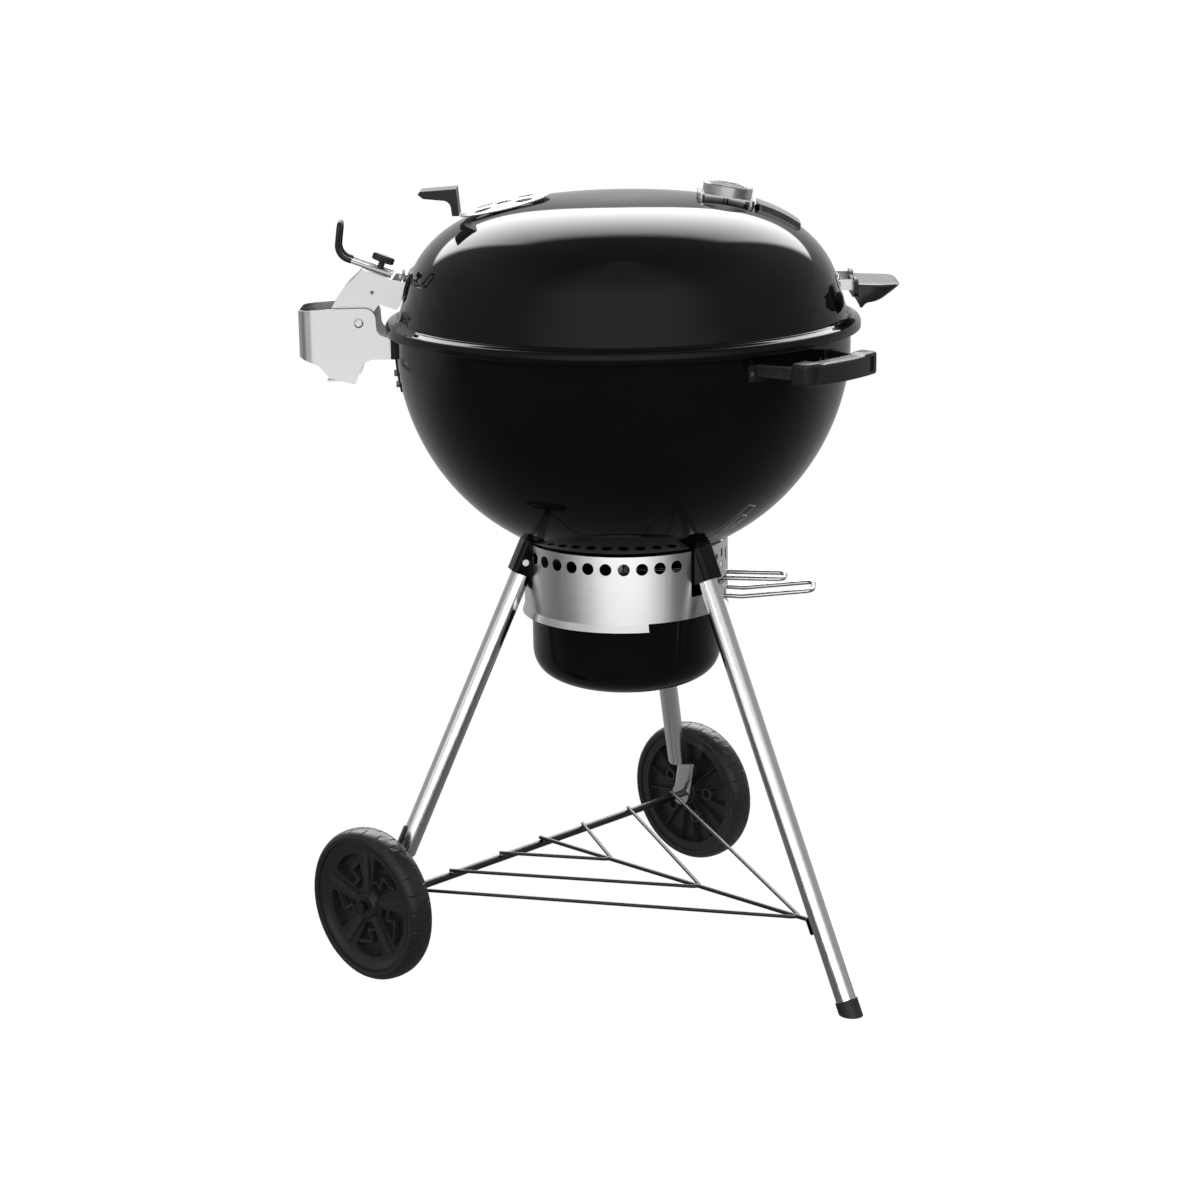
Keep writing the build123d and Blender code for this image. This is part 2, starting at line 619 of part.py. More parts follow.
BASKET_R, BASKET_Y = 196.0, 95.0
BASKET_LOW, BASKET_HIGH = COAL_Z + 6.1, 745.0
for name, reach in (("near", -1), ("far", 1)):
    with BuildPart() as basket:
        for z, inset, top, mode in ((BASKET_LOW, 0.0, BASKET_HIGH, Mode.ADD),
                                    (BASKET_LOW + 1.5, 1.5, BASKET_HIGH + 1, Mode.SUBTRACT)):
            r = BASKET_R - inset
            y = BASKET_Y + inset
            half = chord(r, y)
            with BuildSketch(Plane.XY.offset(z)):
                with BuildLine():
                    ThreePointArc((-half, reach * y), (0, reach * r), (half, reach * y))
                    Line((half, reach * y), (-half, reach * y))
                make_face()
            extrude(amount=top - z, mode=mode)
        for i in range(-4, 5):                 # slots through the flat wall
            with BuildSketch(Plane(origin=(34 * i, reach * (BASKET_Y - 3), BASKET_LOW + 50),
                                   x_dir=(1, 0, 0), z_dir=(0, reach, 0))):
                SlotOverall(60, 9, rotation=90)
            extrude(amount=7, mode=Mode.SUBTRACT)
        for i in range(-3, 4):                 # and through the curved one
            with BuildSketch(radial_plane(reach * 90 + 14 * i, BASKET_LOW + 50, BASKET_R - 6)):
                SlotOverall(60, 9, rotation=90)
            extrude(amount=12, mode=Mode.SUBTRACT)
    save(basket, "charcoal_basket_" + name)

# ---- bowl handle, over the footed leg -------------------------------------------------------------
GRIP_R, GRIP_LONG, GRIP_LOW, GRIP_TALL = 342.0, 67.0, 791.0, 27.5
grip_plane = Plane(origin=(0, 0, GRIP_LOW), x_dir=unit(FRONT_LEG), z_dir=(0, 0, 1))
ARM_AZ = 13.5             # arms leave the bowl this far either side of the handle's middle
with BuildPart() as bowl_handle_grip:
    with BuildSketch(grip_plane):
        with BuildLine():
            ThreePointArc((GRIP_R + 10, -GRIP_LONG), (GRIP_R + 17, 0), (GRIP_R + 10, GRIP_LONG))
            Line((GRIP_R + 10, GRIP_LONG), (GRIP_R - 14, GRIP_LONG - 3))
            ThreePointArc((GRIP_R - 14, GRIP_LONG - 3), (GRIP_R - 9, 0),
                          (GRIP_R - 14, 3 - GRIP_LONG))
            Line((GRIP_R - 14, 3 - GRIP_LONG), (GRIP_R + 10, -GRIP_LONG))
        make_face()
    extrude(amount=GRIP_TALL)
    fillet(bowl_handle_grip.edges().filter_by(Axis.Z), radius=4)
    fillet(bowl_handle_grip.faces().sort_by(Axis.Z)[-1].edges(), radius=3.5)
    fillet(bowl_handle_grip.faces().sort_by(Axis.Z)[0].edges(), radius=3.5)
save(bowl_handle_grip, "bowl_handle_grip")

with BuildPart() as bowl_handle_frame:
    for reach in (-1, 1):
        root = unit(FRONT_LEG + reach * ARM_AZ) * (BOWL_R + 2.4)
        tip = unit(FRONT_LEG) * (GRIP_R - 8) + unit(FRONT_LEG + 90) * (reach * (GRIP_LONG - 9))
        way = (tip - root).normalized()
        long = (tip - root).length
        with BuildSketch(Plane(origin=root + Vector(0, 0, GRIP_LOW + GRIP_TALL / 2), z_dir=way,
                               x_dir=(-way.Y, way.X, 0))):
            RectangleRounded(7, 15, 2)
        extrude(amount=long)
        with BuildSketch(radial_plane(FRONT_LEG + reach * ARM_AZ, GRIP_LOW + GRIP_TALL / 2 - 3,
                                      BOWL_R + 0.3)):
            RectangleRounded(26, 20, 3)
        extrude(amount=3)
    with BuildSketch(Plane.XY.offset(760)):    # hollowed to sit on the bowl's wall
        Circle(BOWL_R + 0.1)
    extrude(amount=80, mode=Mode.SUBTRACT)
    add(bowl_handle_grip.part, mode=Mode.SUBTRACT)
save(bowl_handle_frame, "bowl_handle_frame")

with BuildPart() as bowl_handle_bolts:
    for reach in (-1, 1):
        for shift in (-2.2, 2.2):
            with BuildSketch(radial_plane(FRONT_LEG + reach * ARM_AZ + shift * 0.9,
                                          GRIP_LOW + GRIP_TALL / 2 - 3, BOWL_R + 3.4)):
                RegularPolygon(2.9, 6)
            extrude(amount=2.4)
    add(bowl_handle_frame.part, mode=Mode.SUBTRACT)
save(bowl_handle_bolts, "bowl_handle_bolts")

# ---- lid ------------------------------------------------------------------------------------------
FLARE_START = 0.1855      # section parameter where the dome's wall starts to flare to the lip


def lid_curve(inset=0.0, count=10):
    """Points (radius, z) of the lid's section from its wall up to the axis."""
    points = []
    for i in range(count):
        t = FLARE_START + (pi / 2 - FLARE_START) * i / (count - 1)
        r = (LID_R - inset) * max(cos(t), 0.0) ** (2 / LID_WIDE)
        points.append((r, LID_Z + (LID_RISE - inset) * sin(t) ** (2 / LID_TALL)))
    return points


def dome_plane(x):
    """Plane lying on the lid's dome above the X axis: local z is the dome's normal."""
    slope = (lid_height(abs(x) + 1) - lid_height(abs(x) - 1)) / 2 * (1 if x > 0 else -1)
    normal = Vector(-slope, 0, 1).normalized()
    return Plane(origin=(x, 0, lid_height(abs(x))), x_dir=(normal.Z, 0, -normal.X), z_dir=normal)


def upright(plane):
    """Plane through another's axis: local x is the other's x and local y its normal."""
    return Plane(origin=plane.origin, x_dir=plane.x_dir, z_dir=plane.y_dir * -1)


damper_plane = dome_plane(DAMPER_X)
thermo_plane = dome_plane(THERMO_X)
HOLE_RING, HOLE_R = 36.8, 11.0
with BuildPart() as lid:
    with BuildSketch(Plane.XZ):
        outside = lid_curve()
        inside = lid_curve(SHELL)
        with BuildLine():
            Spline(outside, tangents=((-0.08, 1), (-1, 0)))
            Line(outside[-1], inside[-1])
            Spline(inside[::-1], tangents=((1, 0), (0.08, -1)))
            ThreePointArc(inside[0], (273.4, 855), (278.6, 842))
            Polyline((278.6, 842), (279.6, 837.2), (286, 836.6), (292, 834.6))
            ThreePointArc((292, 834.6), (295.0, 832.6), (295.9, 829.5))
            Polyline((295.9, 829.5), (295.9, LIP_Z), (LIP_R, LIP_Z), (LIP_R, 829.5))
            ThreePointArc((LIP_R, 829.5), (296.1, 833.9), (292.4, 836.2))
            Line((292.4, 836.2), (287, 838.0))
            ThreePointArc((287, 838.0), (284.6, 839.8), (282.2, 838.8))
            Line((282.2, 838.8), (280.4, 841.2))
            Line((280.4, 841.2), (280.2, 842.6))
            ThreePointArc((280.2, 842.6), (275.0, 855.4), outside[0])
        make_face()
    revolve(axis=Axis.Z)
    with BuildSketch(damper_plane.offset(-30)):
        with PolarLocations(HOLE_RING, 4, start_angle=45):
            Circle(HOLE_R)
        Circle(4.0)
    extrude(amount=60, mode=Mode.SUBTRACT)
    with BuildSketch(thermo_plane.offset(-30)):
        Circle(4.5)
    extrude(amount=60, mode=Mode.SUBTRACT)
save(lid, "lid")

# ---- lid damper -------------------------------------------------------------------------------------
with BuildPart() as damper_disc:
    with BuildSketch(upright(damper_plane)):
        with BuildLine():
            ThreePointArc((4.05, 1.8), (28.5, 1.05), (DAMPER_R, -1.2))
            Line((DAMPER_R, -1.2), (DAMPER_R, 0.3))
            ThreePointArc((DAMPER_R, 0.3), (28.5, 2.55), (4.05, 3.3))
            Line((4.05, 3.3), (4.05, 1.8))
        make_face()
    revolve(axis=Axis(damper_plane.origin, damper_plane.z_dir))
    with BuildSketch(damper_plane.offset(-10)):
        with PolarLocations(HOLE_RING, 4, start_angle=45):
            Circle(HOLE_R)
    extrude(amount=20, mode=Mode.SUBTRACT)
save(damper_disc, "damper_disc")

with BuildPart() as damper_rivet:
    with BuildSketch(upright(damper_plane)):
        with BuildLine():
            Polyline((0, -2.6), (3.98, -2.6), (3.98, 3.6), (9, 3.6), (9, 4.6), (7.5, 5.6),
                     (4, 6.2), (0, 6.2), (0, -2.6))
        make_face()
    revolve(axis=Axis(damper_plane.origin, damper_plane.z_dir))
save(damper_rivet, "damper_rivet")

with BuildPart() as damper_grip:
    with BuildSketch(Plane.XZ.offset(22)):
        with BuildLine():
            Polyline((-200.6, 965.6), (-203.8, 999), (-249, 996), (-251.5, 992.5), (-245, 987.2),
                     (-221, 984.8))
            ThreePointArc((-221, 984.8), (-213.4, 981.5), (-210.6, 974))
            Polyline((-210.6, 974), (-209.4, 965.6), (-200.6, 965.6))
        make_face()
    extrude(amount=-44)
save(damper_grip, "damper_grip")

# ---- lid thermometer and its cover plate -----------------------------------------------------------
thermo_side = upright(thermo_plane)
thermo_axis = Axis(thermo_plane.origin, thermo_plane.z_dir)


def thermo_turned(points):
    """Solid turned about the thermometer's axis from (radius, height) points."""
    with BuildSketch(thermo_side) as outline:
        with BuildLine():
            Polyline(*points, points[0])
        make_face()
    revolve(outline.sketch, axis=thermo_axis)


def dome_solid(raise_by, grow=0.0):
    """The volume under the dome's outside, raised or grown by a distance."""
    with BuildPart() as dome:
        with BuildSketch(Plane.XZ):
            outside = lid_curve(-grow)
            with BuildLine():
                Spline(outside, tangents=((-0.08, 1), (-1, 0)))
                Polyline(outside[-1], (0, outside[0][1]), outside[0])
            make_face()
        revolve(axis=Axis.Z)
    return dome.part.translate((0, 0, raise_by))


BEZEL_R = 31.0
PLATE_HALF = 33.0         # half width of the base and cover plates
with BuildPart() as thermometer_base:
    with BuildSketch(thermo_plane.offset(4.0)):
        with Locations((-1.5, 0)):
            RectangleRounded(71, 2 * PLATE_HALF, 5)
        Circle(3.3, mode=Mode.SUBTRACT)
    extrude(amount=1.4)
    with BuildSketch(thermo_plane.offset(4.0)):
        with Locations((-32, -26), (-32, 26), (30, -26), (30, 26)):
            Circle(4)
    extrude(amount=-12)
    add(dome_solid(0.1), mode=Mode.SUBTRACT)
save(thermometer_base, "thermometer_base")

with BuildPart() as thermometer_bezel:
    thermo_turned(((3.3, 5.45), (BEZEL_R, 5.45), (BEZEL_R, 17.0), (29.5, 18.6), (27.2, 18.6),
                   (26.4, 18.05), (28.6, 18.05), (28.6, 7.0), (3.3, 7.0)))
save(thermometer_bezel, "thermometer_bezel")

with BuildPart() as thermometer_dial:
    thermo_turned(((3.3, 7.05), (28.5, 7.05), (28.5, 13.4), (3.3, 13.4)))
save(thermometer_dial, "thermometer_dial")

with BuildPart() as thermometer_glass:
    thermo_turned(((0, 16.7), (28.5, 16.7), (28.5, 18.0), (0, 18.0)))
save(thermometer_glass, "thermometer_glass")

with BuildPart() as thermometer_probe:
    thermo_turned(((0, -75), (3.2, -75), (3.2, 13.8), (0, 13.8)))
save(thermometer_probe, "thermometer_probe")

with BuildPart() as thermometer_needle:
    with BuildSketch(thermo_plane.offset(14.4)):
        Circle(4)
        with BuildLine():
            Polyline((-1.6, 0), (-1.0, -9), (1.0, -9), (1.6, 0), (0.4, 22), (-0.4, 22), (-1.6, 0))
        make_face()
    extrude(amount=1.2)
save(thermometer_needle, "thermometer_needle")

COVER_NEAR, COVER_FAR = 168.0, 221.0
with BuildPart() as lid_cover_plate:
    with BuildSketch(Plane.XY.offset(860)):
        with Locations(((COVER_NEAR + COVER_FAR) / 2, 0)):
            RectangleRounded(COVER_FAR - COVER_NEAR, 2 * PLATE_HALF, 4)
    extrude(amount=160)
    add(dome_solid(7.5), mode=Mode.INTERSECT)
    with BuildSketch(Plane.XY.offset(850)):
        with Locations(((COVER_NEAR + COVER_FAR) / 2 - 3, 0)):
            Rectangle(COVER_FAR - COVER_NEAR + 2.8, 2 * PLATE_HALF - 3)
    inner = extrude(amount=160, mode=Mode.PRIVATE)
    add(inner.intersect(dome_solid(6.0)), mode=Mode.SUBTRACT)
    add(dome_solid(0.1), mode=Mode.SUBTRACT)
save(lid_cover_plate, "lid_cover_plate")

# ---- lid handle ---------------------------------------------------------------------------------------
HANDLE_HALF = 55.0


def straight(points, half):
    """Solid of an (X, Z) outline, spread evenly either side of the X axis."""
    with BuildSketch(Plane.XZ.offset(half)) as outline:
        with BuildLine():
            Polyline(*points, points[0])
        make_face()
    extrude(outline.sketch, amount=-2 * half)


with BuildPart() as lid_handle_grip:
    straight(((284.5, 886.6), (288.7, 886.6), (292.5, 882.5), (297.5, 879.3), (342.5, 878.2),
              (343.8, 876.8), (342.5, 874.5), (322.2, 859.2), (315.8, 856.4), (303.9, 854.4),
              (299.6, 851.6), (296.8, 848.2), (293.9, 848.2), (292.5, 853.9), (285.5, 859.7)),
             HANDLE_HALF)
save(lid_handle_grip, "lid_handle_grip")


def lid_strap(azimuth, half_angle, low, high, thick):
    """Strap that hugs the lid's wall between two levels."""
    with BuildPart() as strap:
        with BuildSketch(section_plane(azimuth - half_angle)):
            with Locations((LID_R - 20, low)):
                Rectangle(40, high - low, align=(Align.MIN, Align.MIN))
        revolve(axis=Axis.Z, revolution_arc=2 * half_angle)
        add(dome_solid(0, thick), mode=Mode.INTERSECT)
        add(dome_solid(0, 0.08), mode=Mode.SUBTRACT)
    add(strap.part)


ARM_Y = 40.0
with BuildPart() as lid_handle_bracket:
    lid_strap(0, 9.5, 869.0, 884.0, 1.7)
    for side in (-1, 1):
        with Locations((278, side * ARM_Y, 876.5)):
            Box(17, 2, 13)
    add(dome_solid(0, 0.08), mode=Mode.SUBTRACT)
    add(lid_handle_grip.part, mode=Mode.SUBTRACT)
save(lid_handle_bracket, "lid_handle_bracket")

with BuildPart() as lid_handle_bolts:
    for azimuth in (-5.5, 5.5):
        with BuildSketch(radial_plane(azimuth, 876.5, lid_radius(876.5) + 0.7)):
            Circle(4.2)
        extrude(amount=3.2)
    add(dome_solid(0, 1.75), mode=Mode.SUBTRACT)
save(lid_handle_bolts, "lid_handle_bolts")

# ---- lid hinge: housing and pin on the bowl -----------------------------------------------------------
HOUSING_T = 1.6
PIN_R = 4.0
HOUSING_END = -405.0
with BuildPart() as hinge_housing:
    with BuildSketch(Plane.XY.offset(755)):
        with BuildLine():
            FilletPolyline((-289.5, -HINGE_HALF), (HOUSING_END, -HINGE_HALF),
                           (HOUSING_END, HINGE_HALF), (-289.5, HINGE_HALF), radius=20)
            Line((-289.5, HINGE_HALF), (-289.5, HINGE_HALF - HOUSING_T))
            FilletPolyline((-289.5, HINGE_HALF - HOUSING_T),
                           (HOUSING_END + HOUSING_T, HINGE_HALF - HOUSING_T),
                           (HOUSING_END + HOUSING_T, HOUSING_T - HINGE_HALF),
                           (-289.5, HOUSING_T - HINGE_HALF), radius=20 - HOUSING_T)
            Line((-289.5, HOUSING_T - HINGE_HALF), (-289.5, -HINGE_HALF))
        make_face()
    extrude(amount=105)
    with BuildSketch(Plane.XZ.offset(HINGE_HALF + 5)):
        with BuildLine():
            Polyline((HOUSING_END, 852), (-361, 854.5), (-322, 854.8))
            ThreePointArc((-322, 854.8), (-311.4, 850.9), (-307, 841))
            Line((-307, 841), (-306.5, 831))
            ThreePointArc((-306.5, 831), (-304.6, 824.6), (-300, 820.5))
            Polyline((-300, 820.5), (-291, 817.5), (-289.5, 791), (-311, 791))
            ThreePointArc((-311, 791), (-320.6, 787.6), (-327, 780))
            Polyline((-327, 780), (-335, 760), (-366, 768), (-380, 784), (-398, 791),
                     (HOUSING_END, 794), (HOUSING_END, 852))
        make_face()
    extrude(amount=-2 * (HINGE_HALF + 5), mode=Mode.INTERSECT)
    for side in (-1, 1):
        with Locations((-290.3, side * 29.4, 803.5)):
            Box(1.8, 18.4, 25)                 # flanges screwed to the bowl bracket
    with Locations((-353.5, 0, 764.8)):
        Box(33, 2 * (HINGE_HALF - HOUSING_T), 1.6)
    with BuildSketch(Plane(origin=(PIVOT_X, -HINGE_HALF - 5, PIVOT_Z), z_dir=(0, 1, 0))):
        Circle(PIN_R)
    extrude(amount=2 * HINGE_HALF + 10, mode=Mode.SUBTRACT)
save(hinge_housing, "hinge_housing")


def pin_turned(points):
    """Solid turned about the hinge pin from (y, radius) points."""
    with BuildSketch(Plane(origin=(PIVOT_X, 0, PIVOT_Z), x_dir=(0, 1, 0), z_dir=(1, 0, 0))) as outline:
        with BuildLine():
            Polyline(*points, points[0])
        make_face()
    revolve(outline.sketch, axis=Axis((PIVOT_X, 0, PIVOT_Z), (0, 1, 0)))


with BuildPart() as hinge_pin:
    head = HINGE_HALF + 2.2
    pin_turned(((-head, 0), (-head, 4), (-head + 0.9, 6), (-HINGE_HALF, 6), (-HINGE_HALF, PIN_R),
                (HINGE_HALF, PIN_R), (HINGE_HALF, 6), (head - 0.9, 6), (head, 4), (head, 0)))
save(hinge_pin, "hinge_pin")

COILS, COIL_PITCH = 16, 3.2
with BuildPart() as hinge_spring:
    start = -COILS * COIL_PITCH / 2
    crests = []
    for i in range(COILS):
        crests += [(start + i * COIL_PITCH + 0.5, 8.6), (start + (i + 0.5) * COIL_PITCH, 10.0),
                   (start + (i + 1) * COIL_PITCH - 0.5, 8.6)]
    pin_turned([(start, 7.0), (start, 8.6), *crests, (-start, 8.6), (-start, 7.0)])
save(hinge_spring, "hinge_spring")

with BuildPart() as hinge_bowl_bracket:
    levels = [748.0 + 7.7 * i for i in range(10)]
    strap = [(bowl_radius(z) + 0.08, z) for z in levels]
    strap += [(bowl_radius(z) + 2.0, z) for z in reversed(levels)]
    with BuildSketch(section_plane(173.5)):
        with BuildLine():
            Polyline(*strap, strap[0])
        make_face()
    revolve(axis=Axis.Z, revolution_arc=13)
    with Locations((-285.8, 0, 803.5)):
        Box(6.8, 76, 26)                       # flat seat for the housing
    with BuildSketch(Plane.XY.offset(785)):
        Circle(BOWL_R + 0.08)
    extrude(amount=40, mode=Mode.SUBTRACT)
save(hinge_bowl_bracket, "hinge_bowl_bracket")

with BuildPart() as hinge_bowl_bolts:
    for z in (757.0, 771.0):
        for shift in (-4.4, 4.4):
            with BuildSketch(radial_plane(180 + shift, z, bowl_radius(z) + 1.0)):
                RegularPolygon(4.5, 6)
            extrude(amount=4.5)
    add(hinge_bowl_bracket.part, mode=Mode.SUBTRACT)
save(hinge_bowl_bolts, "hinge_bowl_bolts")

# ---- lid hinge: lever and bracket on the lid -----------------------------------------------------------
with BuildPart() as hinge_lid_bracket:
    lid_strap(180, 8, 870.0, 897.0, 3.2)
save(hinge_lid_bracket, "hinge_lid_bracket")

LEVER_OUT, LEVER_T = 34.0, 2.0
FLANGE_TOP, FLANGE_END = Vector(-322, 0, 903), Vector(-285, 0, 889)
flange_way = (FLANGE_END - FLANGE_TOP).normalized()
knob_plane = Plane(origin=(-304, 0, 896.2), x_dir=flange_way, z_dir=(-flange_way.Z, 0, flange_way.X))
KNOB_R = 3.0
with BuildPart() as hinge_lever:
    straight(((-362, 854.5), (-354.5, 868.5), (-343.6, 882.3), (-334.5, 890), (-322, 903),
              (-285, 889), (-269, 886), (-276, 858), (-281, 852), (-302.6, 859.4), (-311, 848),
              (-314, 837), (-320, 826), (-345, 828), (-362, 840)), LEVER_OUT)
    with Locations((-320, 0, 860)):
        Box(160, 2 * (LEVER_OUT - LEVER_T), 160, mode=Mode.SUBTRACT)
    with BuildSketch(Plane.XZ.offset(-LEVER_OUT)):
        with Locations((PIVOT_X, PIVOT_Z)):
            Circle(PIN_R + RUN)
        with Locations((-310.7, 874)):
            Circle(2.5)
    extrude(amount=2 * LEVER_OUT, mode=Mode.SUBTRACT)
    with BuildSketch(knob_plane):
        with Locations((0.3, 0)):
            Rectangle(39, 2 * LEVER_OUT)
        Circle(KNOB_R + RUN, mode=Mode.SUBTRACT)
    extrude(amount=-LEVER_T)
    with BuildSketch(knob_plane.offset(-10)):
        Circle(KNOB_R + RUN)
    extrude(amount=20, mode=Mode.SUBTRACT)
    with Locations((-276.6, 0, 872)):
        Box(2.4, 2 * LEVER_OUT, 20)            # cross flange screwed to the lid's bracket
    add(dome_solid(0, 0.08), mode=Mode.SUBTRACT)
    add(hinge_lid_bracket.part, mode=Mode.SUBTRACT)
save(hinge_lever, "hinge_lever")

with BuildPart() as hinge_lid_bolts:
    for z, face_x in ((876.0, -277.85), (890.5, -274.0)):
        with BuildSketch(Plane(origin=(face_x, 0, z), x_dir=(0, 1, 0), z_dir=(-1, 0, 0))):
            with Locations((-27, 0), (27, 0)):
                RegularPolygon(4.0, 6)
        extrude(amount=3)
    add(dome_solid(0, 3.25), mode=Mode.SUBTRACT)
save(hinge_lid_bolts, "hinge_lid_bolts")

with BuildPart() as lid_knob:
    for radius, low, high in ((5, -6, -2.4), (KNOB_R, -2.4, 0.4), (6, 0.4, 3.5), (4, 3.5, 12)):
        with BuildSketch(knob_plane.offset(low)):
            Circle(radius)
        extrude(amount=high - low)
    with BuildSketch(knob_plane.offset(12)):
        RectangleRounded(27, 11, 5.4)
    extrude(amount=9)
save(lid_knob, "lid_knob")

HOOK_Y = 14.0
HOOK_BEND, HOOK_TIP = Vector(-355, 0, 917.5), Vector(-350, 0, 957)
HOOK_BEND_R = 18.0
tip_way = (HOOK_TIP - HOOK_BEND).normalized()
hook_mid = HOOK_TIP - tip_way * 13
with BuildPart() as rear_hook:
    for side in (-1, 1):
        shift = Vector(0, side * HOOK_Y, 0)
        with BuildLine() as arm:
            FilletPolyline(Vector(-287, 0, 892.9) + shift, HOOK_BEND + shift, hook_mid + shift,
                           radius=HOOK_BEND_R)
        with BuildSketch(Plane(origin=arm.line @ 0, z_dir=arm.line % 0)):
            Circle(HANDLE_WIRE_R)
        sweep(path=arm.line)
    with BuildLine() as loop:
        FilletPolyline(hook_mid - Vector(0, HOOK_Y, 0), HOOK_TIP - Vector(0, HOOK_Y, 0),
                       HOOK_TIP + Vector(0, HOOK_Y, 0), hook_mid + Vector(0, HOOK_Y, 0), radius=9)
    with BuildSketch(Plane(origin=loop.line @ 0, z_dir=loop.line % 0)):
        Circle(HANDLE_WIRE_R)
    sweep(path=loop.line)
    add(hinge_lever.part, mode=Mode.SUBTRACT)
save(rear_hook, "rear_hook")

with BuildPart() as rear_hook_sleeve:
    with BuildSketch(Plane(origin=loop.line @ 0, z_dir=loop.line % 0)):
        Circle(HANDLE_WIRE_R + 0.9)
        Circle(HANDLE_WIRE_R + 0.05, mode=Mode.SUBTRACT)
    sweep(path=loop.line)
save(rear_hook_sleeve, "rear_hook_sleeve")
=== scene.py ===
"""Looks of the kettle charcoal grill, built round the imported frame.

Metres, same frame as the CAD: origin on the kettle's axis at the floor, +Z up, +X to the lid
handle, lid hinge at -X.
"""

import json
from functools import partial
from math import atan2, cos, pi, radians, sin, sqrt

import bmesh
import bpy
from mathutils import Matrix, Vector


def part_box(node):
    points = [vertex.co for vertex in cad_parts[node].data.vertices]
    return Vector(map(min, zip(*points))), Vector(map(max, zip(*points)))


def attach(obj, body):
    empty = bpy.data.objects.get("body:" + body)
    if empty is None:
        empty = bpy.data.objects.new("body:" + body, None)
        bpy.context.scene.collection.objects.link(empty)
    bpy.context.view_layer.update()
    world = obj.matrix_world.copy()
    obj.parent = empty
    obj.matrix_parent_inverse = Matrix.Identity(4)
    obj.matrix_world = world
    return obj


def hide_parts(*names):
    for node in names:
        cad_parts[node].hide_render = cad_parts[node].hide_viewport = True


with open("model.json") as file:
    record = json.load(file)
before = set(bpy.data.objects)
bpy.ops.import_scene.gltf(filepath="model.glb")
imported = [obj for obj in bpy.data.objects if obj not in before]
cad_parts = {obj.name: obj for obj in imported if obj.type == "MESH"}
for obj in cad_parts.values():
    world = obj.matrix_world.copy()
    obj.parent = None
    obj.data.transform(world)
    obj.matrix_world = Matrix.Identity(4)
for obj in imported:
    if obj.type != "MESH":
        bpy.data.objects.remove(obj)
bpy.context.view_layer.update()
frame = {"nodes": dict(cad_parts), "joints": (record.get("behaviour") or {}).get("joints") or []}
NODES = frame["nodes"]
JOINTS = {joint["name"]: joint for joint in frame["joints"]}
MM = 0.001
WELD = 1e-6


# ---- node helpers ------------------------------------------------------------------------------
def math_node(tree, operation, first, second=0.0, clamp=False):
    """Math on numbers or node outputs."""
    node = tree.nodes.new("ShaderNodeMath")
    node.operation = operation
    node.use_clamp = clamp
    for socket, value in zip(node.inputs, (first, second)):
        if isinstance(value, (int, float)):
            socket.default_value = value
        else:
            tree.links.new(value, socket)
    return node.outputs[0]


def range_node(tree, value, start, end, low, high, kind="LINEAR"):
    """Carry start..end over to low..high."""
    node = tree.nodes.new("ShaderNodeMapRange")
    node.interpolation_type = kind
    for socket, number in zip(("From Min", "From Max", "To Min", "To Max"),
                              (start, end, low, high)):
        node.inputs[socket].default_value = number
    tree.links.new(value, node.inputs["Value"])
    return node.outputs[0]


def split_node(tree, vector):
    """The x, y and z of a vector."""
    node = tree.nodes.new("ShaderNodeSeparateXYZ")
    tree.links.new(vector, node.inputs[0])
    return node.outputs[0], node.outputs[1], node.outputs[2]


def white_to_camera(tree, kind, strength, surface):
    """Plain white as a backdrop, and a graded strength as the light it gives."""
    path = tree.nodes.new("ShaderNodeLightPath")
    graded, white = tree.nodes.new(kind), tree.nodes.new(kind)
    tree.links.new(strength, graded.inputs["Strength"])
    white.inputs["Color"].default_value = (1, 1, 1, 1)
    choose = tree.nodes.new("ShaderNodeMixShader")
    tree.links.new(path.outputs["Is Camera Ray"], choose.inputs[0])
    tree.links.new(graded.outputs[0], choose.inputs[1])
    tree.links.new(white.outputs[0], choose.inputs[2])
    tree.links.new(choose.outputs[0], surface)


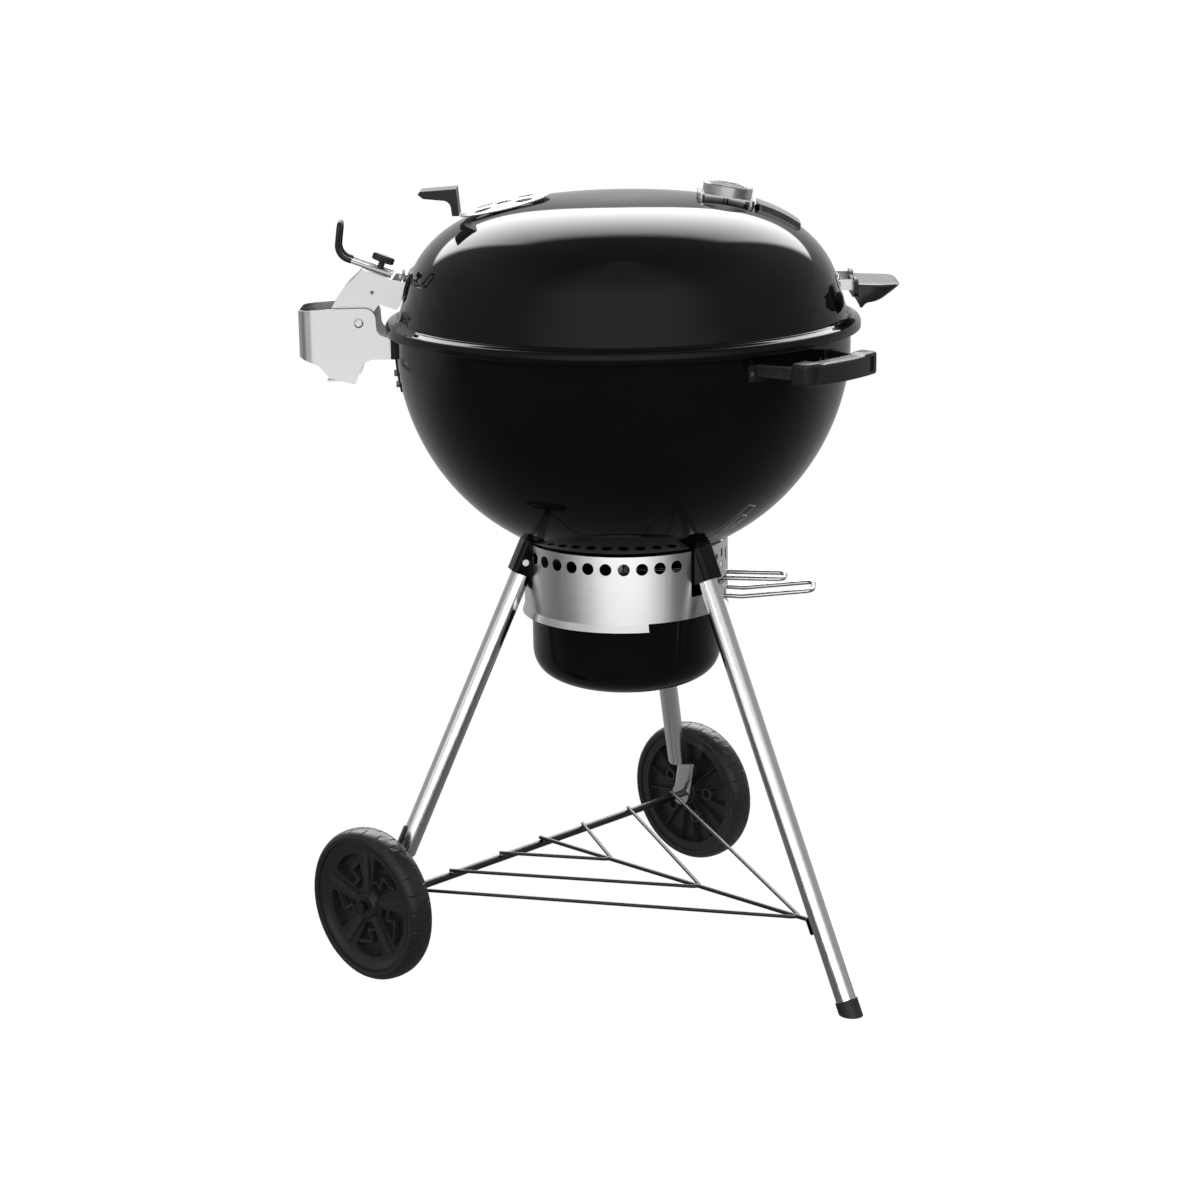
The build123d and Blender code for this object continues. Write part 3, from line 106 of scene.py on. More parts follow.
class Nodes:
    """Small helper round a material's node tree."""

    def __init__(self, name):
        self.material = bpy.data.materials.new(name)
        self.material.use_nodes = True
        self.tree = self.material.node_tree
        self.shader = self.tree.nodes["Principled BSDF"]
        coords = self.tree.nodes.new("ShaderNodeTexCoord")
        self.place = coords.outputs["Object"]
        self.math = partial(math_node, self.tree)

    def link(self, out, socket):
        self.tree.links.new(out, socket)

    def stretched(self, scale):
        node = self.tree.nodes.new("ShaderNodeMapping")
        node.inputs["Scale"].default_value = scale
        self.link(self.place, node.inputs["Vector"])
        return node.outputs[0]

    def round_axis(self, around, along):
        """Coordinates that run round the vertical axis, for grain turned on a lathe."""
        x, y, z = split_node(self.tree, self.place)
        joined = self.tree.nodes.new("ShaderNodeCombineXYZ")
        self.link(self.math("MULTIPLY", self.math("ARCTAN2", y, x), around), joined.inputs[0])
        self.link(self.math("MULTIPLY", z, along), joined.inputs[1])
        return joined.outputs[0]

    def noise(self, vector, scale, detail=3.0, rough=0.55):
        node = self.tree.nodes.new("ShaderNodeTexNoise")
        node.inputs["Scale"].default_value = scale
        node.inputs["Detail"].default_value = detail
        node.inputs["Roughness"].default_value = rough
        self.link(vector, node.inputs["Vector"])
        return node.outputs["Fac"]

    def spread(self, value, low, high, start=0.3, end=0.7):
        """Carry the middle of a noise's range over to low..high."""
        return range_node(self.tree, value, start, end, low, high)

    def mix(self, factor, first, second):
        """Mix two colours, each given as an RGB tuple or a node output."""
        node = self.tree.nodes.new("ShaderNodeMix")
        node.data_type = "RGBA"
        self.link(factor, node.inputs["Factor"])
        for socket, colour in ((node.inputs[6], first), (node.inputs[7], second)):
            if isinstance(colour, tuple):
                socket.default_value = (*colour, 1.0)
            else:
                self.link(colour, socket)
        return node.outputs[2]

    def bump(self, height, strength, distance):
        node = self.tree.nodes.new("ShaderNodeBump")
        node.inputs["Strength"].default_value = strength
        node.inputs["Distance"].default_value = distance
        self.link(height, node.inputs["Height"])
        self.link(node.outputs[0], self.shader.inputs["Normal"])


# ---- materials ---------------------------------------------------------------------------------
# noise scales, in waves per metre
COAT_MOTTLE, COAT_SHEEN, COAT_WEAR = 9.0, 35.0, 60.0
METAL_MOTTLE, GLASS_SMEAR = 14.0, 90.0
LATHE_AROUND, LATHE_ALONG = 3.0, 1300.0    # waves per radian and per metre
WORN_EDGE = (0.53, 0.62)    # how far an edge stands out before its coat rubs off
METAL_BUMP = 0.0004


def shade(colour, factor):
    return tuple(min(channel * factor, 1.0) for channel in colour)


def coated(name, colour, rough, rough_to, mottle, peel, worn=None, specular=0.5):
    """Enamel, paint or moulded plastic: soft mottling, fine surface texture, rubbed edges.

    peel is the texture's scale, strength and depth; worn is the colour of rubbed edges and how
    much of it shows.
    """
    nodes = Nodes(name)
    broad = nodes.noise(nodes.place, COAT_MOTTLE)
    fine = nodes.noise(nodes.place, peel[0], 4.0)
    base = nodes.mix(nodes.spread(broad, 0, 1), shade(colour, 1 - mottle),
                     shade(colour, 1 + mottle))
    if worn:
        geometry = nodes.tree.nodes.new("ShaderNodeNewGeometry")
        edge = nodes.spread(geometry.outputs["Pointiness"], 0.0, worn[1], *WORN_EDGE)
        patchy = nodes.spread(nodes.noise(nodes.place, COAT_WEAR), 0, 1)
        base = nodes.mix(nodes.math("MULTIPLY", edge, patchy, clamp=True), base, worn[0])
    nodes.link(base, nodes.shader.inputs["Base Color"])
    nodes.link(nodes.spread(nodes.noise(nodes.place, COAT_SHEEN), rough, rough_to),
               nodes.shader.inputs["Roughness"])
    nodes.shader.inputs["Specular IOR Level"].default_value = specular
    nodes.bump(fine, peel[1], peel[2])
    return nodes.material


def metal(name, colour, rough, rough_to, grain, strength, mottle=0.05):
    """Metal with a directional grain: grain is 'round' or a stretch along x, y and z."""
    nodes = Nodes(name)
    if grain == "round":
        vector = nodes.round_axis(LATHE_AROUND, LATHE_ALONG)
    else:
        vector = nodes.stretched(grain)
    lines = nodes.noise(vector, 1.0, 4.0, 0.65)
    broad = nodes.noise(nodes.place, METAL_MOTTLE)
    both = nodes.math("ADD", nodes.math("MULTIPLY", lines, 0.6),
                      nodes.math("MULTIPLY", broad, 0.4))
    nodes.link(nodes.mix(nodes.spread(both, 0, 1, 0.35, 0.65), shade(colour, 1 - mottle),
                         shade(colour, 1 + mottle)), nodes.shader.inputs["Base Color"])
    nodes.link(nodes.spread(lines, rough, rough_to), nodes.shader.inputs["Roughness"])
    nodes.shader.inputs["Metallic"].default_value = 1.0
    nodes.bump(lines, strength, METAL_BUMP)
    return nodes.material


def clear_glass():
    nodes = Nodes("gauge glass")
    smear = nodes.spread(nodes.noise(nodes.place, GLASS_SMEAR), 0.01, 0.05)
    nodes.link(smear, nodes.shader.inputs["Roughness"])
    nodes.shader.inputs["Transmission Weight"].default_value = 1.0
    nodes.shader.inputs["IOR"].default_value = 1.1
    nodes.shader.inputs["Base Color"].default_value = (0.97, 0.98, 0.98, 1)
    return nodes.material


ENAMEL = coated("black enamel", (0.0045, 0.0045, 0.005), 0.03, 0.06, 0.25,
                (260.0, 0.012, 0.0005), specular=0.24)
BOWL_ENAMEL = coated("bowl enamel", (0.004, 0.004, 0.0045), 0.05, 0.09, 0.25,
                     (260.0, 0.02, 0.0005), specular=0.24)
BRACKET = coated("bracket enamel", (0.012, 0.012, 0.013), 0.22, 0.34, 0.3,
                 (500.0, 0.06, 0.0005), ((0.12, 0.12, 0.12), 0.35))
NYLON = coated("handle nylon", (0.017, 0.017, 0.019), 0.30, 0.42, 0.2,
               (900.0, 0.12, 0.0006), ((0.05, 0.05, 0.052), 0.5))
PLASTIC = coated("black plastic", (0.020, 0.020, 0.021), 0.30, 0.40, 0.2,
                 (800.0, 0.1, 0.0006), ((0.05, 0.05, 0.05), 0.4))
TYRE = coated("tyre plastic", (0.021, 0.021, 0.022), 0.30, 0.40, 0.25,
              (600.0, 0.10, 0.0006), ((0.045, 0.045, 0.045), 0.4))
DIAL = coated("dial paint", (0.82, 0.82, 0.80), 0.35, 0.5, 0.03, (500.0, 0.02, 0.0003))
DIAL_BLACK = coated("dial ink", (0.02, 0.02, 0.022), 0.4, 0.5, 0.1, (500.0, 0.02, 0.0003))
NEEDLE = coated("needle red", (0.55, 0.02, 0.015), 0.35, 0.45, 0.08, (500.0, 0.02, 0.0003))
STEEL = metal("brushed stainless", (0.78, 0.775, 0.765), 0.27, 0.33, "round", 0.012, 0.03)
PLATE = metal("brushed plate", (0.62, 0.615, 0.61), 0.18, 0.30, (25.0, 900.0, 900.0), 0.10)
HINGE = metal("brushed hinge", (0.66, 0.655, 0.645), 0.30, 0.36, (60.0, 60.0, 2600.0), 0.02,
              0.02)
LEG = metal("leg aluminium", (0.82, 0.82, 0.83), 0.14, 0.24, (300.0, 300.0, 25.0), 0.12)
ZINC = metal("zinc wire", (0.66, 0.66, 0.68), 0.16, 0.30, (200.0, 200.0, 200.0), 0.15, 0.12)
DARK = metal("dark plated wire", (0.09, 0.09, 0.095), 0.28, 0.42, (200.0, 200.0, 200.0), 0.15,
             0.15)
CHROME = metal("brushed bezel", (0.58, 0.58, 0.585), 0.26, 0.36, (60.0, 60.0, 900.0), 0.03)
COVER = metal("dark cover plate", (0.36, 0.36, 0.375), 0.07, 0.12, (40.0, 300.0, 300.0), 0.03)
DAMPER = metal("damper aluminium", (0.50, 0.50, 0.505), 0.30, 0.40, (400.0, 60.0, 60.0), 0.05,
               0.05)
FASTENER = metal("fastener", (0.62, 0.62, 0.62), 0.18, 0.32, (300.0, 300.0, 300.0), 0.2, 0.1)
SHEET = metal("sheet aluminium", (0.62, 0.62, 0.63), 0.24, 0.38, (400.0, 60.0, 60.0), 0.2, 0.08)
GRATE = metal("plated grate", (0.62, 0.62, 0.63), 0.14, 0.26, (150.0, 150.0, 150.0), 0.15, 0.1)
RAW = metal("raw steel wire", (0.27, 0.27, 0.28), 0.32, 0.48, (220.0, 220.0, 220.0), 0.3, 0.2)
GLASS = clear_glass()
BARE_METALS = (STEEL, PLATE, HINGE, LEG, ZINC, CHROME, FASTENER, SHEET)

CAD_LOOKS = {
    "bowl": BOWL_ENAMEL, "leg_socket_front": BOWL_ENAMEL, "leg_socket_left": BOWL_ENAMEL,
    "leg_socket_back": BOWL_ENAMEL, "ash_ring": STEEL, "ash_pot": BOWL_ENAMEL,
    "leg_front": LEG, "leg_left": LEG, "leg_back": LEG, "socket_bolts": FASTENER,
    "foot_cap": PLASTIC, "leg_plug_left": PLASTIC, "leg_plug_back": PLASTIC, "axle": DARK,
    "tyre_left": TYRE, "tyre_back": TYRE, "wheel_left": PLASTIC, "wheel_back": PLASTIC,
    "wire_rack": DARK, "ash_pot_handle": ZINC, "sweeper": SHEET, "sweeper_lever": ZINC,
    "cooking_grate": GRATE, "grate_centre": GRATE, "grate_flap_near": GRATE,
    "grate_flap_far": GRATE, "charcoal_grate": RAW, "grate_rests": ZINC,
    "charcoal_basket_near": RAW, "charcoal_basket_far": RAW, "bowl_handle_grip": NYLON,
    "bowl_handle_frame": BRACKET, "bowl_handle_bolts": FASTENER, "lid": ENAMEL,
    "damper_disc": DAMPER, "damper_rivet": FASTENER, "damper_grip": NYLON,
    "thermometer_base": PLATE, "thermometer_bezel": CHROME, "thermometer_dial": DIAL,
    "thermometer_glass": GLASS, "thermometer_probe": CHROME, "thermometer_needle": NEEDLE,
    "lid_cover_plate": COVER, "lid_handle_grip": NYLON, "lid_handle_bracket": PLATE,
    "lid_handle_bolts": FASTENER, "hinge_housing": HINGE, "hinge_pin": FASTENER,
    "hinge_spring": ZINC, "hinge_bowl_bracket": BRACKET, "hinge_bowl_bolts": FASTENER,
    "hinge_lid_bracket": BRACKET, "hinge_lever": HINGE, "hinge_lid_bolts": FASTENER,
    "lid_knob": PLASTIC, "rear_hook": ZINC, "rear_hook_sleeve": NYLON,
}
for name, look in CAD_LOOKS.items():
    slots = NODES[name].data.materials
    for i in range(len(slots)):
        slots[i] = look


# ---- mesh helpers ------------------------------------------------------------------------------
def add_to_scene(name, data):
    made = bpy.data.objects.new(name, data)
    bpy.context.scene.collection.objects.link(made)
    return made


def mesh_object(name, bm):
    """Turn a bmesh into an object of the scene."""
    mesh = bpy.data.meshes.new(name)
    bm.to_mesh(mesh)
    bm.free()
    return add_to_scene(name, mesh)


def finish_piece(name, bm, look, body, replaced=(), sharp=35):
    """Turn a bmesh into an object that rides on a body and stands for CAD nodes."""
    bmesh.ops.remove_doubles(bm, verts=bm.verts, dist=WELD)
    bmesh.ops.recalc_face_normals(bm, faces=bm.faces)
    piece = mesh_object(name, bm)
    piece.data.materials.append(look)
    piece.data.shade_smooth()
    piece.data.set_sharp_from_angle(angle=radians(sharp))
    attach(piece, body)
    if replaced:
        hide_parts(*replaced)
    return piece


def frame_matrix(origin, z_axis, x_hint):
    """Placement whose local z is an axis and whose local x leans towards a hint."""
    z = Vector(z_axis).normalized()
    x = Vector(x_hint)
    x = (x - z * x.dot(z)).normalized()
    y = z.cross(x)
    matrix = Matrix((x, y, z)).transposed().to_4x4()
    matrix.translation = Vector(origin)
    return matrix


def polar(r, degrees_round):
    return (r * cos(radians(degrees_round)), r * sin(radians(degrees_round)))


def turn_profile(bm, profile, matrix, steps, groove=None):
    """Revolve a closed (radius, height) outline about a placement's z axis."""
    rings = []
    for k in range(steps):
        angle = 2 * pi * k / steps
        ring = []
        for i, (r, h) in enumerate(profile):
            r = r - (groove(k, i) if groove else 0.0)
            ring.append(bm.verts.new(matrix @ Vector((r * cos(angle), r * sin(angle), h))))
        rings.append(ring)
    count = len(profile)
    for k in range(steps):
        near, far = rings[k], rings[(k + 1) % steps]
        for i in range(count):
            j = (i + 1) % count
            bm.faces.new((near[i], far[i], far[j], near[j]))


def loft(bm, sections):
    """Join closed sections of equal count into a solid with capped ends."""
    rings = [[bm.verts.new(point) for point in section] for section in sections]
    bm.faces.new(rings[0][::-1])
    bm.faces.new(rings[-1])
    for near, far in zip(rings, rings[1:]):
        for i in range(len(near)):
            j = (i + 1) % len(near)
            bm.faces.new((near[i], near[j], far[j], far[i]))


def sweep_tube(bm, points, radius, sides):
    """Round bar along a path of points."""
    sections = []
    normal = None
    for before, point, after in zip(points[:1] + points, points, points[1:] + points[-1:]):
        way = (after - before).normalized()
        if normal is None:
            normal = way.orthogonal().normalized()
        normal = (normal - way * normal.dot(way)).normalized()
        side = way.cross(normal)
        sections.append([point + (normal * cos(2 * pi * k / sides)
                                  + side * sin(2 * pi * k / sides)) * radius
                         for k in range(sides)])
    loft(bm, sections)


def cut_away(piece, cutters):
    """Bore holes through a piece with hidden cutter meshes, then drop the cutters."""
    for cutter in cutters:
        modifier = piece.modifiers.new("hole", "BOOLEAN")
        modifier.object = cutter
        modifier.solver = "EXACT"
    bpy.context.view_layer.update()
    cut = bpy.data.meshes.new_from_object(piece.evaluated_get(
        bpy.context.evaluated_depsgraph_get()))
    piece.modifiers.clear()
    piece.data = cut
    for cutter in cutters:
        bpy.data.objects.remove(cutter)


# ---- lid ---------------------------------------------------------------------------------------
LID_R, LID_RISE, LID_WIDE, LID_TALL, LID_Z = 0.275, 0.161, 2.892, 2.489, 0.8266
LID_SHEET = 0.0016
FLARE_START = 0.1855
LID_LIP_INSIDE = ((0.2726, 0.8600), (0.2738, 0.8540), (0.2762, 0.8480))
LID_LIP = ((0.2786, 0.842), (0.2796, 0.8374), (0.286, 0.8368), (0.2918, 0.8348),
           (0.2942, 0.8334), (0.2956, 0.8314), (0.2960, 0.8290), (0.2960, 0.8234),
           (0.2964, 0.8231), (0.2971, 0.8231), (0.2975, 0.8235), (0.2975, 0.8290),
           (0.2972, 0.8312), (0.2963, 0.8333), (0.2946, 0.8350), (0.2924, 0.8361),
           (0.2880, 0.8376), (0.2868, 0.8384), (0.2858, 0.8395), (0.2844, 0.8399),
           (0.2831, 0.8395), (0.2822, 0.8387), (0.2812, 0.8398), (0.2804, 0.8413),
           (0.2800, 0.8428), (0.2786, 0.8490), (0.2766, 0.8550), (0.2751, 0.8610))
VENT_HOLES, VENT_START, VENT_OUT, VENT_R = 4, 45, 0.0368, 0.011
PROBE_HOLE_R = 0.0045
CUTTER_HALF = 0.03


def lid_section(inset, count=48):
    """(radius, height) of the dome from its wall up to the axis."""
    points = []
    for i in range(count):
        t = FLARE_START + (pi / 2 - FLARE_START) * i / (count - 1)
        r = (LID_R - inset) * max(cos(t), 0.0) ** (2 / LID_WIDE)
        points.append((max(r, 0.0001), LID_Z + (LID_RISE - inset) * sin(t) ** (2 / LID_TALL)))
    return points


def hole_cutter(matrix, radius):
    bm = bmesh.new()
    bmesh.ops.create_cone(bm, cap_ends=True, segments=40, radius1=radius, radius2=radius,
                          depth=2 * CUTTER_HALF, matrix=matrix)
    return mesh_object("cutter", bm)


def build_lid():
    profile = lid_section(LID_SHEET)[::-1] + list(LID_LIP_INSIDE + LID_LIP) + lid_section(0.0)
    bm = bmesh.new()
    turn_profile(bm, profile, Matrix.Identity(4), 256)
    dome = finish_piece("lid_dome", bm, ENAMEL, "lid", ("lid",), 40)
    damper = JOINTS["damper_turn"]
    seat = frame_matrix(damper["pos_m"], damper["axis"], (1, 0, 0))
    out = Matrix.Translation((VENT_OUT, 0, 0))
    turns = [VENT_START + 360 // VENT_HOLES * i for i in range(VENT_HOLES)]
    cutters = [hole_cutter(seat @ Matrix.Rotation(radians(turn), 4, "Z") @ out, VENT_R)
               for turn in turns]
    gauge = JOINTS["needle_turn"]
    cutters.append(hole_cutter(frame_matrix(gauge["pos_m"], gauge["axis"], (1, 0, 0)),
                               PROBE_HOLE_R))
    cut_away(dome, cutters)


build_lid()


# ---- tyres -------------------------------------------------------------------------------------
TREAD = ((0.0865, -0.0170), (0.0908, -0.0180), (0.0935, -0.0172), (0.0958, -0.0150),
         (0.0975, -0.0118), (0.0984, -0.0092), (0.0988, -0.0072), (0.0992, -0.0040),
         (0.0994, 0.0), (0.0992, 0.0040), (0.0988, 0.0072), (0.0984, 0.0092),
         (0.0975, 0.0118), (0.0958, 0.0150), (0.0935, 0.0172), (0.0908, 0.0180),
         (0.0865, 0.0170))
SIPES, STEPS_PER_SIPE = 26, 22
SIPE_DEPTH = 0.0009
SIPE_FIRST, SIPE_LAST = 3, 7    # points of the tread, counted in from its edge
SIPE_FOOT = (1, 2, 3, 4, 5)     # steps that the foot of the L runs round


def sipe(k, i):
    """L-shaped cuts on both shoulders of the tread, staggered by half a pitch."""
    inward = min(i, len(TREAD) - 1 - i)
    step = (k + (0 if i < len(TREAD) // 2 else STEPS_PER_SIPE // 2)) % STEPS_PER_SIPE
    upright = step == 0 and SIPE_FIRST <= inward <= SIPE_LAST
    foot = inward == SIPE_LAST and step in SIPE_FOOT
    return SIPE_DEPTH if upright or foot else 0.0


def build_tyre(side, joint, body, node):
    joint = JOINTS[joint]
    matrix = frame_matrix(joint["pos_m"], joint["axis"], (0, 0, 1))
    bm = bmesh.new()
    turn_profile(bm, TREAD, matrix, SIPES * STEPS_PER_SIPE, sipe)
    finish_piece("tyre_tread_" + side, bm, TYRE, body, (node,), 28)


build_tyre("left", "left_wheel_spin", "left_wheel", "tyre_left")
build_tyre("back", "back_wheel_spin", "back_wheel", "tyre_back")


# ---- wheels ------------------------------------------------------------------------------------
RIM_SECTION = ((0.00506, -0.0164), (0.0160, -0.0164), (0.0170, -0.0154), (0.0170, -0.0042),
               (0.0740, -0.0040), (0.0742, -0.0146), (0.0866, -0.0146), (0.0868, -0.0142),
               (0.0868, 0.0138), (0.0862, 0.0144), (0.0836, 0.0144), (0.0822, 0.0138),
               (0.0790, 0.0116), (0.0755, 0.0094), (0.0700, 0.0084), (0.0500, 0.0070),
               (0.0300, 0.0060), (0.0196, 0.0062), (0.0178, 0.0086), (0.0170, 0.0112),
               (0.0156, 0.0132), (0.0140, 0.0135), (0.0066, 0.0135), (0.00506, 0.0130))
SPOKES = 5
SPOKE_STEP = 360 // SPOKES
WINDOW_TURN = 36
# corners as (millimetre radius, degrees from the window's middle)
WINDOW = ((25, -17), (40, -20), (66, -23), (69, -18), (70, 0), (69, 18), (66, 23), (40, 20),
          (25, 17))
WINDOW_LOW, WINDOW_HIGH = -0.0016, 0.02
# bars round each window: start and end as corners, then width, bottom and top
FACE_BARS = (((58, -21), (50, 3), 0.0044, -0.0012, 0.0066),
             ((50, 3), (35, -4), 0.0044, -0.0012, 0.0060),
             ((35, -4), (34, 19), 0.0040, -0.0012, 0.0054),
             ((22, 36), (70, 36), 0.0100, 0.0040, 0.0094))
# ribs on the inner face: count, millimetre radii, then width, bottom and top
BACK_RIBS, BACK_RIB_FROM, BACK_RIB_TO = 3 * SPOKES, 17, 73
BACK_RIB = (0.0018, -0.0125, -0.0036)
BOSS_AT = (37, 12)
BOSS_SECTION = ((0.0055, -0.0128), (0.0090, -0.0128), (0.0095, -0.0122), (0.0095, -0.0038),
                (0.0055, -0.0038))
BAR_BEVEL = 0.0006


def window_cutter(turn, matrix):
    """Prism through one window, turned about a placement's z axis."""
    bm = bmesh.new()
    loft(bm, [[matrix @ Vector((*polar(r * MM, a + turn), z)) for r, a in WINDOW]
              for z in (WINDOW_LOW, WINDOW_HIGH)])
    return mesh_object("cutter", bm)


def bar_between(bm, matrix, start, end, width, low, high):
    """Bevelled bar between two (millimetre, millimetre) points of a placement's plane."""
    start, end = Vector(start) * MM, Vector(end) * MM
    way = end - start
    spot = matrix @ Matrix.Translation(((start.x + end.x) / 2, (start.y + end.y) / 2,
                                        (low + high) / 2))
    spot = spot @ Matrix.Rotation(atan2(way.y, way.x), 4, "Z")
    made = bmesh.ops.create_cube(bm, size=1.0, matrix=spot @ Matrix.Diagonal(
        (way.length + width, width, high - low, 1)))
    edges = {edge for vert in made["verts"] for edge in vert.link_edges}
    bmesh.ops.bevel(bm, geom=list(edges), offset=BAR_BEVEL, segments=2, affect="EDGES")


def build_wheel(name, joint, body, node, side):
    joint = JOINTS[joint]
    matrix = frame_matrix(joint["pos_m"], Vector(joint["axis"]) * side, (0, 0, 1))
    windows = [SPOKE_STEP * i + WINDOW_TURN for i in range(SPOKES)]
    bm = bmesh.new()
    turn_profile(bm, RIM_SECTION, matrix, 144)
    wheel = finish_piece("wheel_face_" + name, bm, PLASTIC, body, (node,), 30)
    cut_away(wheel, [window_cutter(turn, matrix) for turn in windows])
    ribs = bmesh.new()
    for turn in windows:
        for (r0, a0), (r1, a1), *size in FACE_BARS:
            bar_between(ribs, matrix, polar(r0, turn + a0), polar(r1, turn + a1), *size)
    for i in range(BACK_RIBS):
        turn = 360 // BACK_RIBS * i
        bar_between(ribs, matrix, polar(BACK_RIB_FROM, turn), polar(BACK_RIB_TO, turn),
                    *BACK_RIB)
    for i in range(SPOKES):
        x, y = polar(BOSS_AT[0], SPOKE_STEP * i + BOSS_AT[1])
        turn_profile(ribs, BOSS_SECTION, matrix @ Matrix.Translation((x * MM, y * MM, 0)), 32)
    finish_piece("wheel_ribs_" + name, ribs, PLASTIC, body, (), 30)


build_wheel("left", "left_wheel_spin", "left_wheel", "wheel_left", -1)
build_wheel("back", "back_wheel_spin", "back_wheel", "wheel_back", 1)


# ---- hinge spring ------------------------------------------------------------------------------
COILS, STEPS_PER_COIL = 14, 20
COIL_WIRE, COIL_R, COIL_HALF = 0.0013, 0.0085, 0.0238


def build_spring():
    pivot = Vector(JOINTS["lid_hinge"]["pos_m"])
    steps = COILS * STEPS_PER_COIL
    points = []
    for k in range(steps + 1):
        angle = 2 * pi * k / STEPS_PER_COIL
        points.append(pivot + Vector((COIL_R * cos(angle), -COIL_HALF + 2 * COIL_HALF * k / steps,
                                      COIL_R * sin(angle))))
    bm = bmesh.new()
    sweep_tube(bm, points, COIL_WIRE, 8)
    finish_piece("spring_coil", bm, ZINC, "kettle", ("hinge_spring",), 60)


build_spring()


# ---- thermometer dial --------------------------------------------------------------------------
DIAL_SECTION = ((0.0033, 0.00705), (0.0284, 0.00705), (0.0284, 0.0130), (0.0281, 0.0132),
                (0.0040, 0.0132), (0.0033, 0.0130))
DIAL_START, MARKS, MARK_STEP, MARKS_PER_FIGURE = 225, 31, 9, 5    # degrees and counts
MARK_Z, MARK_TALL = 0.01325, 0.0002
SHORT_MARK, LONG_MARK = (0.0252, 0.0024, 0.0003), (0.0244, 0.0040, 0.0006)
FIGURES = ("0", "50", "100", "150", "200", "250", "300")
FIGURE_OUT, DIGIT_STEP = 0.0190, 0.0026
DIGIT_X, DIGIT_Y = 0.0015, 0.0014
LYING_BAR, STANDING_BAR = (0.0016, 0.0004), (0.0004, 0.0015)
SEGMENTS = {"0": "abcdef", "1": "bc", "2": "abged", "3": "abgcd", "5": "afgcd"}
BARS = {"a": (0.0, 1.0, LYING_BAR), "b": (0.5, 0.5, STANDING_BAR),
        "c": (0.5, -0.5, STANDING_BAR), "d": (0.0, -1.0, LYING_BAR),
        "e": (-0.5, -0.5, STANDING_BAR), "f": (-0.5, 0.5, STANDING_BAR),
        "g": (0.0, 0.0, LYING_BAR)}


def flat_bar(bm, matrix, length, width):
    bmesh.ops.create_cube(bm, size=1.0, matrix=matrix @ Matrix.Diagonal(
        (length, width, MARK_TALL, 1)))


def build_dial():
    gauge = JOINTS["needle_turn"]
    away = Vector(gauge["axis"]) * (-1 if gauge["axis"][2] < 0 else 1)
    seat = frame_matrix(gauge["pos_m"], away, (1, 0, 0))
    bm = bmesh.new()
    turn_profile(bm, DIAL_SECTION, seat, 96)
    finish_piece("dial_plate", bm, DIAL, "lid", ("thermometer_dial",))
    marks = bmesh.new()
    for i in range(MARKS):
        out, length, width = SHORT_MARK if i % MARKS_PER_FIGURE else LONG_MARK
        spot = (seat @ Matrix.Rotation(radians(DIAL_START - MARK_STEP * i), 4, "Z")
                @ Matrix.Translation((out, 0, MARK_Z)))
        flat_bar(marks, spot, length, width)
    for i, figure in enumerate(FIGURES):
        x, y = polar(FIGURE_OUT, DIAL_START - MARK_STEP * MARKS_PER_FIGURE * i)
        for j, digit in enumerate(figure):
            middle = Vector((x + (j - (len(figure) - 1) / 2) * DIGIT_STEP, y, MARK_Z))
            for bar in SEGMENTS[digit]:
                right, up, size = BARS[bar]
                spot = seat @ Matrix.Translation(
                    middle + Vector((right * DIGIT_X, up * DIGIT_Y, 0)))
                flat_bar(marks, spot, *size)
    finish_piece("dial_marks", marks, DIAL_BLACK, "lid")


build_dial()


# ---- lid handle --------------------------------------------------------------------------------
GRIP_TOP = ((0.2905, 0.8795), (0.2960, 0.8793), (0.3060, 0.8789), (0.3180, 0.8785),
            (0.3300, 0.8782), (0.3380, 0.8780), (0.3415, 0.8775), (0.3432, 0.8763))
GRIP_UNDER = ((0.3424, 0.8746), (0.3370, 0.8702), (0.3300, 0.8650), (0.3222, 0.8594),
              (0.3158, 0.8567), (0.3100, 0.8554), (0.3039, 0.8546), (0.2998, 0.8520),
              (0.2970, 0.8486), (0.2941, 0.8486), (0.2926, 0.8540), (0.2905, 0.8560))
GRIP_BACK, GRIP_MIDDLE_Z = 0.2905, 0.868
GRIP_STATIONS, GUARD_STATIONS = 28, 40
HANDLE_HALF = 0.0545
GUARD_BACK, GUARD_FRONT = 0.2850, 0.2907
GUARD_TOP, GUARD_HORN, GUARD_LOW, GUARD_LIFT = 0.8800, 0.0062, 0.8600, 0.0080
HORN_FROM, HORN_SPAN = 0.42, 0.56    # shares of the half length
GUARD_EDGE_X, GUARD_EDGE_Z = 0.0007, 0.001


